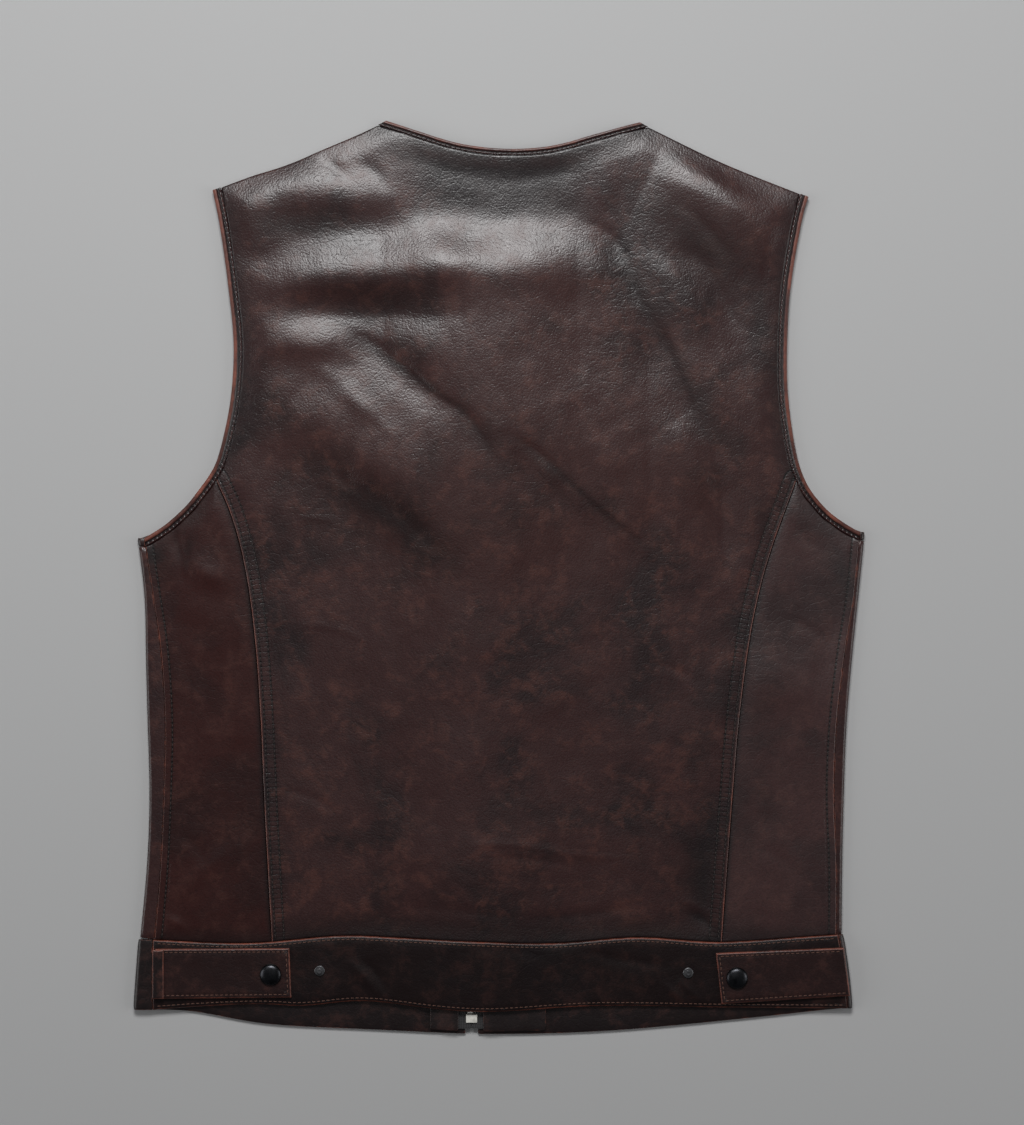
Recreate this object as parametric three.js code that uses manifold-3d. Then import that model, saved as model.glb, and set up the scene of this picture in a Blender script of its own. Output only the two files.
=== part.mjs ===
// A collarless leather vest lying face down, seen with its back up.
// Units are millimetres. +Y points from the hem to the neck, +Z up from the surface it lies on.
// Photo left, which is also the wearer's left, is at -X.

import * as THREE from 'three';
import { mergeVertices } from 'three/addons/utils/BufferGeometryUtils.js';
import Module from 'manifold-3d';

// Driving sizes

const LEATHER = 1.5;
const SEAM_GAP = 0.3;
const TURNED_EDGE = 3.2;
const BAND_THICKNESS = 2.8;
const TAB_THICKNESS = 2.4;
const FACING_THICKNESS = 1.2;

const SIDE_FOLD_RADIUS = 2.5;
const BAND_FOLD_RADIUS = 3.1;
const LEAST_SEAM_STRIP = 0.6;

const ARMHOLE_BINDING = { width: 6, height: 2.9, top: 4.9 };
const NECK_BINDING = { width: 4.5, height: 2.6, top: 4.4, miter: 6.8, frontMiter: 5.6 };

const FRONT_BAND_SAG = 16;
const FRONT_BAND_BLEND = 20;

const ZIP = {
  x: -19.3,
  topY: 203,
  leatherGap: 9,
  turnedWidth: 13,
  turnedSlope: 2.5,
  tapeHalfWidth: 16,
  tapeBottom: 3.5,
  tapeThickness: 0.6,
  tapeEndY: -317,
  chainWidth: 5.8,
  chainThickness: 2,
};

// Heights of the back's outer face

const SIDE_TOP = 2 * SIDE_FOLD_RADIUS;
const ZIP_HUMP = { height: 3.6, spread: 36 };
const NECK_TOP = 6.6;
const SHOULDER_EDGE_TOP = LEATHER + SEAM_GAP + LEATHER;
const SHOULDER_ROLL = 9;
const ARMHOLE_EDGE_TOP = 4.4;
const ARMHOLE_ROLL = 12;
const FRONT_NECK_SLOPE = { from: -4, to: 42, overZip: 10.5 };
const LEAST_BACK_TOP = 3.6;
const FACING_TOP = 5.6;
const FACING_CLEARANCE_HALF_WIDTH = 31;
const PRINCESS_WELT = { width: 9, height: 0.9 };
const SIDE_WELT = { width: 5.5, height: 0.8 };
const WELT_FLAT_SHARE = 0.6;

// Rows of a table as objects, with a name for each column.
function table(columns, rows) {
  return rows.map((row) => Object.fromEntries(columns.map((column, i) => [column, row[i]])));
}

// Sections of the body from the waistband up to the underarm: the two outer folds, the two side seams
// and the two princess seams.

const BODY_SECTIONS = table(
  ['y', 'foldLeft', 'seamLeft', 'princessLeft', 'princessRight', 'seamRight', 'foldRight'],
  [
    [-254, -252.8, -242.4, -159.8, 156.6, 237.0, 241.2],
    [-202, -247.9, -238.0, -162.7, 160.5, 237.2, 241.6],
    [-152, -246.1, -235.8, -165.3, 164.3, 235.5, 242.8],
    [-102, -247.5, -234.8, -167.5, 168.5, 237.4, 244.7],
    [-52, -248.8, -237.8, -170.8, 174.8, 243.2, 248.9],
    [-14, -249.4, -243.2, -175.1, 181.9, 249.4, 252.9],
    [14, -252.6, -247.4, -180.0, 189.5, 252.2, 255.7],
    [44, -257.0, -252.0, -188.2, 199.9, 255.0, 258.4],
    [70, -257.0, -252.0, -199.9, 211.0, 255.0, 258.4],
  ],
);

// Sections of the waistband: its two outer folds and side seams.

const BAND_SECTIONS = table(
  ['y', 'foldLeft', 'seamLeft', 'seamRight', 'foldRight'],
  [
    [-325, -257.9, -243.7, 245.3, 249.2],
    [-298, -257.4, -243.7, 244.9, 248.8],
    [-276, -255.6, -243.7, 242.7, 246.6],
    [-250, -253.9, -243.7, 238.6, 242.5],
  ],
);

const ARMHOLE = {
  left: [
    { x: -251.0, y: 28.0 },
    { x: -242.5, y: 32.0 },
    { x: -233.0, y: 39.1 },
    { x: -221.0, y: 49.9 },
    { x: -211.3, y: 62.0 },
    { x: -202.9, y: 74.0 },
    { x: -196.8, y: 88.5 },
    { x: -189.1, y: 124.6 },
    { x: -186.8, y: 164.0 },
    { x: -190.8, y: 206.6 },
    { x: -196.6, y: 248.0 },
    { x: -201.6, y: 272.6 },
  ],
  right: [
    { x: 253.2, y: 32.4 },
    { x: 246.3, y: 36.6 },
    { x: 234.6, y: 44.5 },
    { x: 225.3, y: 53.9 },
    { x: 217.0, y: 65.6 },
    { x: 210.0, y: 84.3 },
    { x: 204.2, y: 120.0 },
    { x: 202.6, y: 154.5 },
    { x: 204.9, y: 201.3 },
    { x: 212.4, y: 248.0 },
    { x: 217.7, y: 268.0 },
  ],
};

// Shoulder lines run from the neck point to the armhole.

const SHOULDER = {
  left: [
    { x: -79.1, y: 321.7 },
    { x: -100.5, y: 311.5 },
    { x: -124.6, y: 301.3 },
    { x: -148.7, y: 291.0 },
    { x: -172.8, y: 283.3 },
    { x: -201.6, y: 272.6 },
  ],
  right: [
    { x: 98.7, y: 320.6 },
    { x: 117.6, y: 311.2 },
    { x: 141.1, y: 299.6 },
    { x: 164.4, y: 289.0 },
    { x: 187.8, y: 279.6 },
    { x: 217.7, y: 268.0 },
  ],
};

const NECK_BACK = [
  { x: -79.1, y: 321.7 },
  { x: -54.5, y: 313.2 },
  { x: -25.9, y: 304.9 },
  { x: 7.0, y: 301.5 },
  { x: 38.4, y: 303.9 },
  { x: 67.0, y: 311.7 },
  { x: 98.7, y: 320.6 },
];

// The front neck edge runs from the neck point to the top of the zip.

const NECK_FRONT = {
  left: [
    { x: -79.6, y: 321.0 },
    { x: -90.0, y: 285.0 },
    { x: -86.0, y: 248.0 },
    { x: -64.0, y: 216.0 },
    { x: -23.8, y: 203.0 },
  ],
  right: [
    { x: 99.4, y: 320.0 },
    { x: 97.0, y: 285.0 },
    { x: 86.0, y: 246.0 },
    { x: 52.0, y: 212.0 },
    { x: -14.8, y: 203.0 },
  ],
};

// The front's armhole edge lies in under the back's: parts of the way up the back's edge, and how far in.

const FRONT_ARMHOLE_STATIONS = [
  { at: 0.07, inset: 2.5 },
  { at: 0.16, inset: 6 },
  { at: 0.3, inset: 11 },
  { at: 0.45, inset: 13 },
  { at: 0.62, inset: 13 },
  { at: 0.78, inset: 10 },
  { at: 0.92, inset: 5 },
];

// Cells of the pieces' surfaces

const LINE_STEPS = 120;
const SEAM_CELLS = 14;
const ARMHOLE_CELLS = { side: 6, centre: 21 };
const NECK_CELLS = 14;
const SHOULDER_CELLS = 7;
const FRONT_CELLS = { armhole: 14, neck: 8, strip: 2, turn: 6, across: 7 };

// The open neck of the fronts, which the back dips into: its lowest point, and its sides as a power curve.

const FRONT_NECK_HOLE = { x: 4, halfWidth: 92, lowestY: 203, rise: 100, power: 3.2 };

const BAND_TOP = [
  { x: -243.7, y: -254.4 },
  { x: -177.1, y: -256.9 },
  { x: -113.4, y: -251.8 },
  { x: -71.9, y: -252.9 },
  { x: -16.5, y: -255.5 },
  { x: 38.9, y: -256.9 },
  { x: 97.3, y: -252.9 },
  { x: 152.6, y: -256.2 },
  { x: 208.1, y: -252.9 },
  { x: 246.0, y: -250.2 },
];

const BAND_BOTTOM = [
  { x: -243.7, y: -303.6 },
  { x: -206.5, y: -301.0 },
  { x: -167.1, y: -299.6 },
  { x: -137.6, y: -300.8 },
  { x: -94.5, y: -297.4 },
  { x: -39.4, y: -303.0 },
  { x: -0.1, y: -304.4 },
  { x: 71.0, y: -300.8 },
  { x: 155.4, y: -301.9 },
  { x: 246.0, y: -302.6 },
];

const FRONT_HEM = [
  { x: -262.0, y: -303.4 },
  { x: -237.3, y: -303.8 },
  { x: -210.3, y: -305.2 },
  { x: -186.8, y: -310.6 },
  { x: -155.4, y: -314.8 },
  { x: -88.5, y: -317.9 },
  { x: -9.9, y: -321.1 },
  { x: 71.0, y: -319.2 },
  { x: 146.1, y: -312.8 },
  { x: 202.3, y: -307.0 },
  { x: 231.7, y: -303.8 },
  { x: 256.0, y: -302.6 },
];

// Waist tabs: corners named from the root at the side seam to the free end with the snap.

const TABS = {
  left: {
    rootTop: { x: -241.2, y: -260.5 },
    rootBottom: { x: -243.4, y: -295.4 },
    endTop: { x: -147.2, y: -260.0 },
    endBottom: { x: -145.8, y: -294.4 },
    cap: { x: -160.2, y: -278.2 },
    stud: { x: -126.0, y: -275.9 },
  },
  right: {
    rootTop: { x: 242.0, y: -259.6 },
    rootBottom: { x: 246.4, y: -293.2 },
    endTop: { x: 152.2, y: -263.4 },
    endBottom: { x: 156.2, y: -299.0 },
    cap: { x: 166.9, y: -280.6 },
    stud: { x: 132.8, y: -277.3 },
  },
};

const TAB_ROOT_STRIP = { fromX: -243.0, toX: -235.2, topY: -261.0, bottomY: -295.0, thickness: 1.2 };

// Half sections of the turned metal snap parts, from the axis outward: radius and height.

const SNAP_CAP_PROFILE = [
  { radius: 0, height: 0 },
  { radius: 6.6, height: 0 },
  { radius: 7.6, height: 0.7 },
  { radius: 7.5, height: 1.3 },
  { radius: 6.6, height: 2.0 },
  { radius: 4.4, height: 2.8 },
  { radius: 0, height: 3.1 },
];

const SNAP_STUD_PROFILE = [
  { radius: 0, height: 0 },
  { radius: 3.65, height: 0 },
  { radius: 3.65, height: 0.8 },
  { radius: 2.9, height: 1.1 },
  { radius: 2.2, height: 0.7 },
  { radius: 1.75, height: 0.8 },
  { radius: 1.75, height: 2.2 },
  { radius: 1.3, height: 2.6 },
  { radius: 0, height: 2.7 },
];

// The largest folds of the back: each runs from one end to the other, with a spread across it.
// Ridges have a positive height and troughs a negative one.

const FOLDS = [
  { name: 'left shoulder ridge', x0: -164, y0: 284, x1: -86, y1: 264, spread: 9, height: 2.4 },
  { name: 'left shoulder trough', x0: -150, y0: 250, x1: -82, y1: 246, spread: 11, height: -1.8 },
  { name: 'neck crest, left end', x0: -138, y0: 213, x1: -40, y1: 222, spread: 13, height: 2.6 },
  { name: 'neck crest, right end', x0: -40, y0: 222, x1: 66, y1: 222, spread: 13, height: 1.8 },
  { name: 'trough under the crest', x0: -130, y0: 191, x1: -40, y1: 192, spread: 10, height: -2.2 },
  { name: 'ridge by the left armhole', x0: -160, y0: 172, x1: -112, y1: 170, spread: 9, height: 1.6 },
  { name: 'upper diagonal trough', x0: -96, y0: 166, x1: -8, y1: 98, spread: 8, height: -2.2 },
  { name: 'lower diagonal trough', x0: 4, y0: 98, x1: 100, y1: 22, spread: 8, height: -1.9 },
  { name: 'middle hollow', x0: -44, y0: 96, x1: -16, y1: 78, spread: 12, height: -1.2 },
  { name: 'left hollow', x0: -126, y0: 72, x1: -36, y1: 0, spread: 14, height: -1.8 },
  { name: 'ridge above the left hollow', x0: -110, y0: 112, x1: -62, y1: 62, spread: 13, height: 1.2 },
  { name: 'right pucker', x0: 82, y0: 236, x1: 96, y1: 204, spread: 8, height: -2.2 },
  { name: 'right pucker, lower end', x0: 96, y0: 204, x1: 116, y1: 152, spread: 8, height: -1.5 },
  { name: 'right lit ridge', x0: 112, y0: 216, x1: 136, y1: 190, spread: 9, height: 1.6 },
  { name: 'right shoulder trough', x0: 108, y0: 284, x1: 158, y1: 200, spread: 12, height: -1.8 },
  { name: 'right armhole trough', x0: 118, y0: 150, x1: 150, y1: 96, spread: 9, height: -1.6 },
  { name: 'right armhole trough, lower end', x0: 150, y0: 96, x1: 156, y1: 20, spread: 9, height: -1.2 },
  { name: 'hem ridge, middle', x0: -70, y0: -196, x1: 60, y1: -188, spread: 12, height: 0.9 },
  { name: 'hem trough, right', x0: 60, y0: -214, x1: 140, y1: -238, spread: 11, height: -1.1 },
  { name: 'left side ridge', x0: -222, y0: 8, x1: -200, y1: 14, spread: 8, height: 1.3 },
  { name: 'left side trough', x0: -226, y0: -16, x1: -196, y1: -10, spread: 8, height: -1.0 },
  { name: 'left hem ridge', x0: -226, y0: -206, x1: -196, y1: -232, spread: 9, height: 1.1 },
  { name: 'right side ridge', x0: 190, y0: -66, x1: 226, y1: -84, spread: 14, height: 1.0 },
  { name: 'right side trough', x0: 196, y0: -20, x1: 232, y1: -36, spread: 12, height: -0.9 },
];

// Materials

function leather(color, roughness) {
  return new THREE.MeshStandardMaterial({ color, roughness, metalness: 0 });
}

const MATERIALS = {
  back: leather('#3a2524', 0.5),
  side: leather('#471f1f', 0.45),
  front: leather('#3d2221', 0.5),
  band: leather('#1f1615', 0.5),
  binding: leather('#6b3423', 0.5),
  facing: leather('#2b1c1a', 0.55),
  tape: new THREE.MeshStandardMaterial({ color: '#1c1b1c', roughness: 0.9, metalness: 0 }),
  snap: new THREE.MeshStandardMaterial({ color: '#2a2a2d', roughness: 0.35, metalness: 0.9 }),
  zipMetal: new THREE.MeshStandardMaterial({ color: '#b9b8b3', roughness: 0.3, metalness: 1 }),
};

// Small helpers for numbers and curves

function clamp(value, low, high) {
  return Math.min(high, Math.max(low, value));
}

function smoothStep(value, low, high) {
  const t = clamp((value - low) / (high - low), 0, 1);
  return t * t * (3 - 2 * t);
}

function mix(a, b, t) {
  return a + (b - a) * t;
}

function gaussian(distance, spread) {
  return Math.exp(-(distance * distance) / (2 * spread * spread));
}

function toVectors(rows) {
  return rows.map((row) => new THREE.Vector2(row.x, row.y));
}

function curveThrough(rows) {
  return new THREE.SplineCurve(toVectors(rows));
}

// Value of one column of a table of sections, at a height y, along a smooth curve.
function columnAt(table, column, y) {
  const last = table.length - 1;
  let i = 0;
  while (i < last - 1 && y > table[i + 1].y) i += 1;
  const before = table[Math.max(i - 1, 0)];
  const start = table[i];
  const end = table[i + 1];
  const after = table[Math.min(i + 2, last)];
  const span = end.y - start.y;
  const t = clamp((y - start.y) / span, 0, 1);
  const startSlope = ((end[column] - before[column]) / (end.y - before.y)) * span;
  const endSlope = ((after[column] - start[column]) / (after.y - start.y)) * span;
  const t2 = t * t;
  const t3 = t2 * t;
  return (
    (2 * t3 - 3 * t2 + 1) * start[column] +
    (t3 - 2 * t2 + t) * startSlope +
    (3 * t2 - 2 * t3) * end[column] +
    (t3 - t2) * endSlope
  );
}

// Height y of a curve that runs along X, at a given x.
function heightAlong(points, x) {
  let i = 0;
  while (i < points.length - 2 && x > points[i + 1].x) i += 1;
  const t = clamp((x - points[i].x) / (points[i + 1].x - points[i].x), 0, 1);
  return mix(points[i].y, points[i + 1].y, t);
}

function distanceToSegment(x, y, x0, y0, x1, y1) {
  const dx = x1 - x0;
  const dy = y1 - y0;
  const t = clamp(((x - x0) * dx + (y - y0) * dy) / (dx * dx + dy * dy), 0, 1);
  return Math.hypot(x - x0 - t * dx, y - y0 - t * dy);
}

function distanceToLine(x, y, points) {
  let nearest = Infinity;
  for (let i = 1; i < points.length; i += 1) {
    const a = points[i - 1];
    const b = points[i];
    nearest = Math.min(nearest, distanceToSegment(x, y, a.x, a.y, b.x, b.y));
  }
  return nearest;
}

// A line of points moved sideways: to its left when the distance is positive.
function movedSideways(points, distance) {
  return points.map((point, i) => {
    const before = points[Math.max(i - 1, 0)];
    const after = points[Math.min(i + 1, points.length - 1)];
    const along = after.clone().sub(before).normalize();
    return new THREE.Vector2(point.x - along.y * distance, point.y + along.x * distance);
  });
}

// Points of a line at given distances from its start.
function pointsAt(line, distances) {
  const lengths = [0];
  for (let i = 1; i < line.length; i += 1) {
    lengths.push(lengths[i - 1] + line[i].distanceTo(line[i - 1]));
  }
  const total = lengths[lengths.length - 1];
  return distances.map((distance) => {
    const wanted = clamp(distance, 0, total);
    let i = 0;
    while (i < line.length - 2 && wanted > lengths[i + 1]) i += 1;
    const t = (wanted - lengths[i]) / (lengths[i + 1] - lengths[i]);
    return line[i].clone().lerp(line[i + 1], t);
  });
}

function lengthOf(line) {
  let total = 0;
  for (let i = 1; i < line.length; i += 1) total += line[i].distanceTo(line[i - 1]);
  return total;
}

function evenDistances(from, to, cells) {
  return Array.from({ length: cells + 1 }, (_, i) => mix(from, to, i / cells));
}

function resampled(line, cells) {
  return pointsAt(line, evenDistances(0, lengthOf(line), cells));
}

// A line resampled with a narrow first cell, a narrow last cell, or both, and even cells between.
function resampledWithEdges(line, cells, firstWidth, lastWidth) {
  const total = lengthOf(line);
  const inner = cells - (firstWidth > 0 ? 1 : 0) - (lastWidth > 0 ? 1 : 0);
  const distances = evenDistances(firstWidth, total - lastWidth, inner);
  if (firstWidth > 0) distances.unshift(0);
  if (lastWidth > 0) distances.push(total);
  return pointsAt(line, distances);
}

// The part of a line from its start to the point nearest to a given one, and the rest.
function splitNear(line, target) {
  let nearest = 0;
  line.forEach((point, i) => {
    if (point.distanceTo(target) < line[nearest].distanceTo(target)) nearest = i;
  });
  return [line.slice(0, nearest + 1), line.slice(nearest)];
}

// Closed bodies

// A wall through rows of sections. Each section is a row of pairs of an outer and an inner point.
// `keeps` says which cells, between row i and i + 1 and column j and j + 1, the wall has.
function wall(rows, keeps = () => true) {
  const cellRows = rows.length - 1;
  const cellColumns = rows[0].length - 1;
  const has = (i, j) => i >= 0 && j >= 0 && i < cellRows && j < cellColumns && keeps(i, j);
  const positions = [];
  const numbers = new Map();
  const vertex = (i, j, face) => {
    const key = `${i} ${j} ${face}`;
    if (!numbers.has(key)) {
      numbers.set(key, positions.length / 3);
      positions.push(...rows[i][j][face].toArray());
    }
    return numbers.get(key);
  };
  const faces = [];
  const quad = (a, b, c, d) => faces.push(a, b, c, a, c, d);
  const rim = (i0, j0, i1, j1) => {
    const outers = [vertex(i1, j1, 'outer'), vertex(i0, j0, 'outer')];
    quad(vertex(i0, j0, 'inner'), vertex(i1, j1, 'inner'), ...outers);
  };
  for (let i = 0; i < cellRows; i += 1) {
    for (let j = 0; j < cellColumns; j += 1) {
      if (!has(i, j)) continue;
      const corners = [
        [i, j],
        [i, j + 1],
        [i + 1, j + 1],
        [i + 1, j],
      ];
      quad(...corners.map(([a, b]) => vertex(a, b, 'outer')));
      quad(...corners.map(([a, b]) => vertex(a, b, 'inner')).reverse());
      if (!has(i - 1, j)) rim(i, j, i, j + 1);
      if (!has(i, j + 1)) rim(i, j + 1, i + 1, j + 1);
      if (!has(i + 1, j)) rim(i + 1, j + 1, i + 1, j);
      if (!has(i, j - 1)) rim(i + 1, j, i, j);
    }
  }
  return solidFrom(positions, faces);
}

// A solid through closed rings of points, with a flat cap at each end.
function ringSolid(rings) {
  const sides = rings[0].length;
  const positions = rings.flatMap((ring) => ring.flatMap((point) => point.toArray()));
  const faces = [];
  for (let i = 0; i + 1 < rings.length; i += 1) {
    for (let j = 0; j < sides; j += 1) {
      const a = i * sides + j;
      const b = i * sides + ((j + 1) % sides);
      faces.push(a, b, b + sides, a, b + sides, a + sides);
    }
  }
  const lastStart = (rings.length - 1) * sides;
  for (let j = 1; j + 1 < sides; j += 1) {
    faces.push(0, j + 1, j);
    faces.push(lastStart, lastStart + j, lastStart + j + 1);
  }
  return solidFrom(positions, faces);
}

function signedVolume(positions, faces) {
  const corner = (index) => new THREE.Vector3().fromArray(positions, index * 3);
  let volume = 0;
  for (let i = 0; i < faces.length; i += 3) {
    const a = corner(faces[i]);
    const b = corner(faces[i + 1]);
    const c = corner(faces[i + 2]);
    volume += a.dot(b.cross(c)) / 6;
  }
  return volume;
}

function solidFrom(positions, faces) {
  const outward = signedVolume(positions, faces) > 0;
  const index = outward ? faces : faces.map((_, i) => faces[i - (i % 3) + (2 - (i % 3))]);
  const geometry = new THREE.BufferGeometry();
  geometry.setAttribute('position', new THREE.Float32BufferAttribute(positions, 3));
  geometry.setIndex(index);
  geometry.computeVertexNormals();
  return geometry;
}

// A patch of points between four border lines that meet at their ends. Rows run from the lower
// border to the upper one, and each row from the left border to the right one.
function patch(lower, upper, left, right) {
  const across = fractions(lower).map((value, i) => (value + fractions(upper)[i]) / 2);
  const along = fractions(left).map((value, j) => (value + fractions(right)[j]) / 2);
  const lastAcross = lower.length - 1;
  return left.map((leftPoint, j) =>
    lower.map((lowerPoint, i) => {
      const u = across[i];
      const v = along[j];
      const point = new THREE.Vector2();
      point.addScaledVector(lowerPoint, 1 - v).addScaledVector(upper[i], v);
      point.addScaledVector(leftPoint, 1 - u).addScaledVector(right[j], u);
      point.addScaledVector(lower[0], -(1 - u) * (1 - v)).addScaledVector(lower[lastAcross], -u * (1 - v));
      point.addScaledVector(upper[0], -(1 - u) * v).addScaledVector(upper[lastAcross], -u * v);
      return point;
    }),
  );
}

function fractions(line) {
  const total = lengthOf(line);
  let run = 0;
  return line.map((point, i) => {
    if (i > 0) run += point.distanceTo(line[i - 1]);
    return run / total;
  });
}

// Heights of the back

const SIDES = ['left', 'right'];

const armholeLines = {};
const shoulderLines = {};
SIDES.forEach((side) => {
  armholeLines[side] = curveThrough(ARMHOLE[side]).getSpacedPoints(LINE_STEPS);
  shoulderLines[side] = curveThrough(SHOULDER[side]).getSpacedPoints(LINE_STEPS);
});
const neckLine = curveThrough(NECK_BACK).getSpacedPoints(LINE_STEPS);
const bandTopLine = curveThrough(BAND_TOP).getSpacedPoints(LINE_STEPS);
const bandBottomLine = curveThrough(BAND_BOTTOM).getSpacedPoints(LINE_STEPS);
const frontHemLine = curveThrough(FRONT_HEM).getSpacedPoints(LINE_STEPS);

function foldHeight(x, y) {
  let height = 0;
  FOLDS.forEach((fold) => {
    const distance = distanceToSegment(x, y, fold.x0, fold.y0, fold.x1, fold.y1);
    height += fold.height * gaussian(distance, fold.spread);
  });
  return height;
}

function plainBackTop(x) {
  return SIDE_TOP + ZIP_HUMP.height * gaussian(x - ZIP.x, ZIP_HUMP.spread);
}

// How far the back has dipped into the open neck of the fronts: 0 over them, 1 well inside the neck.
function dippedIntoNeck(x, y) {
  const hole = FRONT_NECK_HOLE;
  const offset = Math.abs(x - hole.x) / hole.halfWidth;
  const edgeY = hole.lowestY + hole.rise * offset ** hole.power;
  return smoothStep(y - edgeY, FRONT_NECK_SLOPE.from, FRONT_NECK_SLOPE.to);
}

// Outer face of the back, from the layers below it, its rolled edges and its folds.
function backTop(x, y) {
  let top = mix(plainBackTop(x), NECK_TOP, dippedIntoNeck(x, y)) + foldHeight(x, y);
  const side = x < 0 ? 'left' : 'right';
  const fromArmhole = distanceToLine(x, y, armholeLines[side]) - ARMHOLE_BINDING.width;
  const fromShoulder = distanceToLine(x, y, shoulderLines[side]);
  const armholeRoll = 1 - Math.exp(-Math.max(fromArmhole, 0) / ARMHOLE_ROLL);
  const shoulderRoll = 1 - Math.exp(-fromShoulder / SHOULDER_ROLL);
  top = mix(ARMHOLE_EDGE_TOP, Math.max(top, LEAST_BACK_TOP), armholeRoll);
  top = mix(SHOULDER_EDGE_TOP, top, shoulderRoll);
  const besideZip = Math.abs(x - ZIP.x) < FACING_CLEARANCE_HALF_WIDTH;
  const overZip = besideZip && y < ZIP.topY + FRONT_NECK_SLOPE.overZip;
  return overZip ? Math.max(top, FACING_TOP + SEAM_GAP + LEATHER) : top;
}

// A pair of wall points at a place in plan, with the outer face at the given height.
function pairAt(point, top, thickness) {
  return {
    outer: new THREE.Vector3(point.x, point.y, top),
    inner: new THREE.Vector3(point.x, point.y, top - thickness),
  };
}

// The fold at each side of the vest. A piece of the front is drawn in its flat pattern, where
// `outward` is the distance from the middle of the vest. Past the fold it turns round the side and
// runs back over the top. `depth` goes into the leather from its outer face.

function sideFold(table, side, radius) {
  const sign = side === 'left' ? -1 : 1;
  const foldColumn = side === 'left' ? 'foldLeft' : 'foldRight';
  const seamColumn = side === 'left' ? 'seamLeft' : 'seamRight';
  const middleRadius = radius - LEATHER / 2;
  const turn = Math.PI * middleRadius;
  const tangent = (y) => Math.abs(columnAt(table, foldColumn, y)) - radius;
  const strip = (y) => {
    const wanted = tangent(y) - Math.abs(columnAt(table, seamColumn, y));
    return Math.max(wanted, LEAST_SEAM_STRIP);
  };
  return {
    sign,
    turn,
    tangent,
    seam: (y) => tangent(y) + turn + strip(y),
    seamX: (y) => sign * (tangent(y) - strip(y)),
    place(outward, y, depth) {
      const past = outward - tangent(y);
      if (past <= 0) return new THREE.Vector3(sign * outward, y, depth);
      if (past >= turn) {
        return new THREE.Vector3(sign * (tangent(y) - (past - turn)), y, 2 * radius - depth);
      }
      const angle = past / middleRadius;
      const reach = radius - depth;
      const x = sign * (tangent(y) + reach * Math.sin(angle));
      return new THREE.Vector3(x, y, radius - reach * Math.cos(angle));
    },
  };
}

const bodyFolds = {};
const bandFolds = {};
SIDES.forEach((side) => {
  bodyFolds[side] = sideFold(BODY_SECTIONS, side, SIDE_FOLD_RADIUS);
  bandFolds[side] = sideFold(BAND_SECTIONS, side, BAND_FOLD_RADIUS);
});

// Lines that several pieces share

function princessX(side, y) {
  return columnAt(BODY_SECTIONS, side === 'left' ? 'princessLeft' : 'princessRight', y);
}

function bandTopY(x) {
  return heightAlong(bandTopLine, x);
}

// Top of the waistband on the fronts: it meets the back's at the sides and hangs lower in the middle.
function frontBandTopY(x) {
  const reach = BODY_SECTIONS[0].foldRight;
  const level = mix(bandTopY(-reach), bandTopY(reach), (x + reach) / (2 * reach));
  return level - FRONT_BAND_SAG * (1 - (x / reach) ** 2);
}

// A bound edge: the outer edge of its binding, the binding's inner edge, and the panel's edge beside it.
function boundEdge(outer, inward, width) {
  return {
    outer,
    inner: movedSideways(outer, inward * width),
    panel: movedSideways(outer, inward * (width + SEAM_GAP)),
  };
}

// The back's armhole edge, with one station where the princess seam runs into it.
function backArmhole(side) {
  const fold = bodyFolds[side];
  const inward = side === 'left' ? -1 : 1;
  const line = armholeLines[side];
  const edge = movedSideways(line, inward * (ARMHOLE_BINDING.width + SEAM_GAP));
  const topY = BODY_SECTIONS[BODY_SECTIONS.length - 1].y;
  const [sidePart] = splitNear(edge, new THREE.Vector2(princessX(side, topY), topY));
  const junction = lengthOf(line.slice(0, sidePart.length));
  const distances = [
    0,
    ...evenDistances(SIDE_WELT.width, junction, ARMHOLE_CELLS.side - 1),
    ...evenDistances(junction, lengthOf(line), ARMHOLE_CELLS.centre).slice(1),
  ];
  const stations = boundEdge(pointsAt(line, distances), inward, ARMHOLE_BINDING.width);
  const atSeam = (y) => new THREE.Vector2(fold.seamX(y) - fold.sign * SEAM_GAP, y);
  const startY = line[0].y;
  stations.outer[0] = atSeam(startY);
  stations.inner[0] = atSeam(startY - ARMHOLE_BINDING.width);
  stations.panel[0] = atSeam(startY - ARMHOLE_BINDING.width - SEAM_GAP);
  const last = distances.length - 1;
  const shoulder = shoulderLines[side];
  const shoulderLength = lengthOf(shoulder);
  [stations.inner[last]] = pointsAt(shoulder, [shoulderLength - ARMHOLE_BINDING.width]);
  [stations.panel[last]] = pointsAt(shoulder, [shoulderLength - ARMHOLE_BINDING.width - SEAM_GAP]);
  return stations;
}

// The back's neck edge. Its ends are cut along the shoulder lines.
function backNeck() {
  const stations = boundEdge(resampled(neckLine, NECK_CELLS), -1, NECK_BINDING.width);
  [
    ['left', 0],
    ['right', NECK_CELLS],
  ].forEach(([side, i]) => {
    [stations.inner[i]] = pointsAt(shoulderLines[side], [NECK_BINDING.miter]);
    [stations.panel[i]] = pointsAt(shoulderLines[side], [NECK_BINDING.miter + SEAM_GAP]);
  });
  return stations;
}

// Princess seam, from the waistband to the armhole binding, half a seam gap to one side.
function princessLine(side, gapSign) {
  const top = backArmhole(side).panel[ARMHOLE_CELLS.side];
  const shift = gapSign * (SEAM_GAP / 2);
  const bottomY = bandTopY(princessX(side, BODY_SECTIONS[0].y)) + SEAM_GAP;
  const line = evenDistances(bottomY, top.y, LINE_STEPS).map(
    (y) => new THREE.Vector2(princessX(side, y) + shift, y),
  );
  line[line.length - 1].set(top.x + shift, top.y);
  return resampled(line, SEAM_CELLS);
}

// Pieces of the back

function weltHeight(distance, welt) {
  return welt.height * (1 - smoothStep(distance, welt.width * WELT_FLAT_SHARE, welt.width));
}

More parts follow.
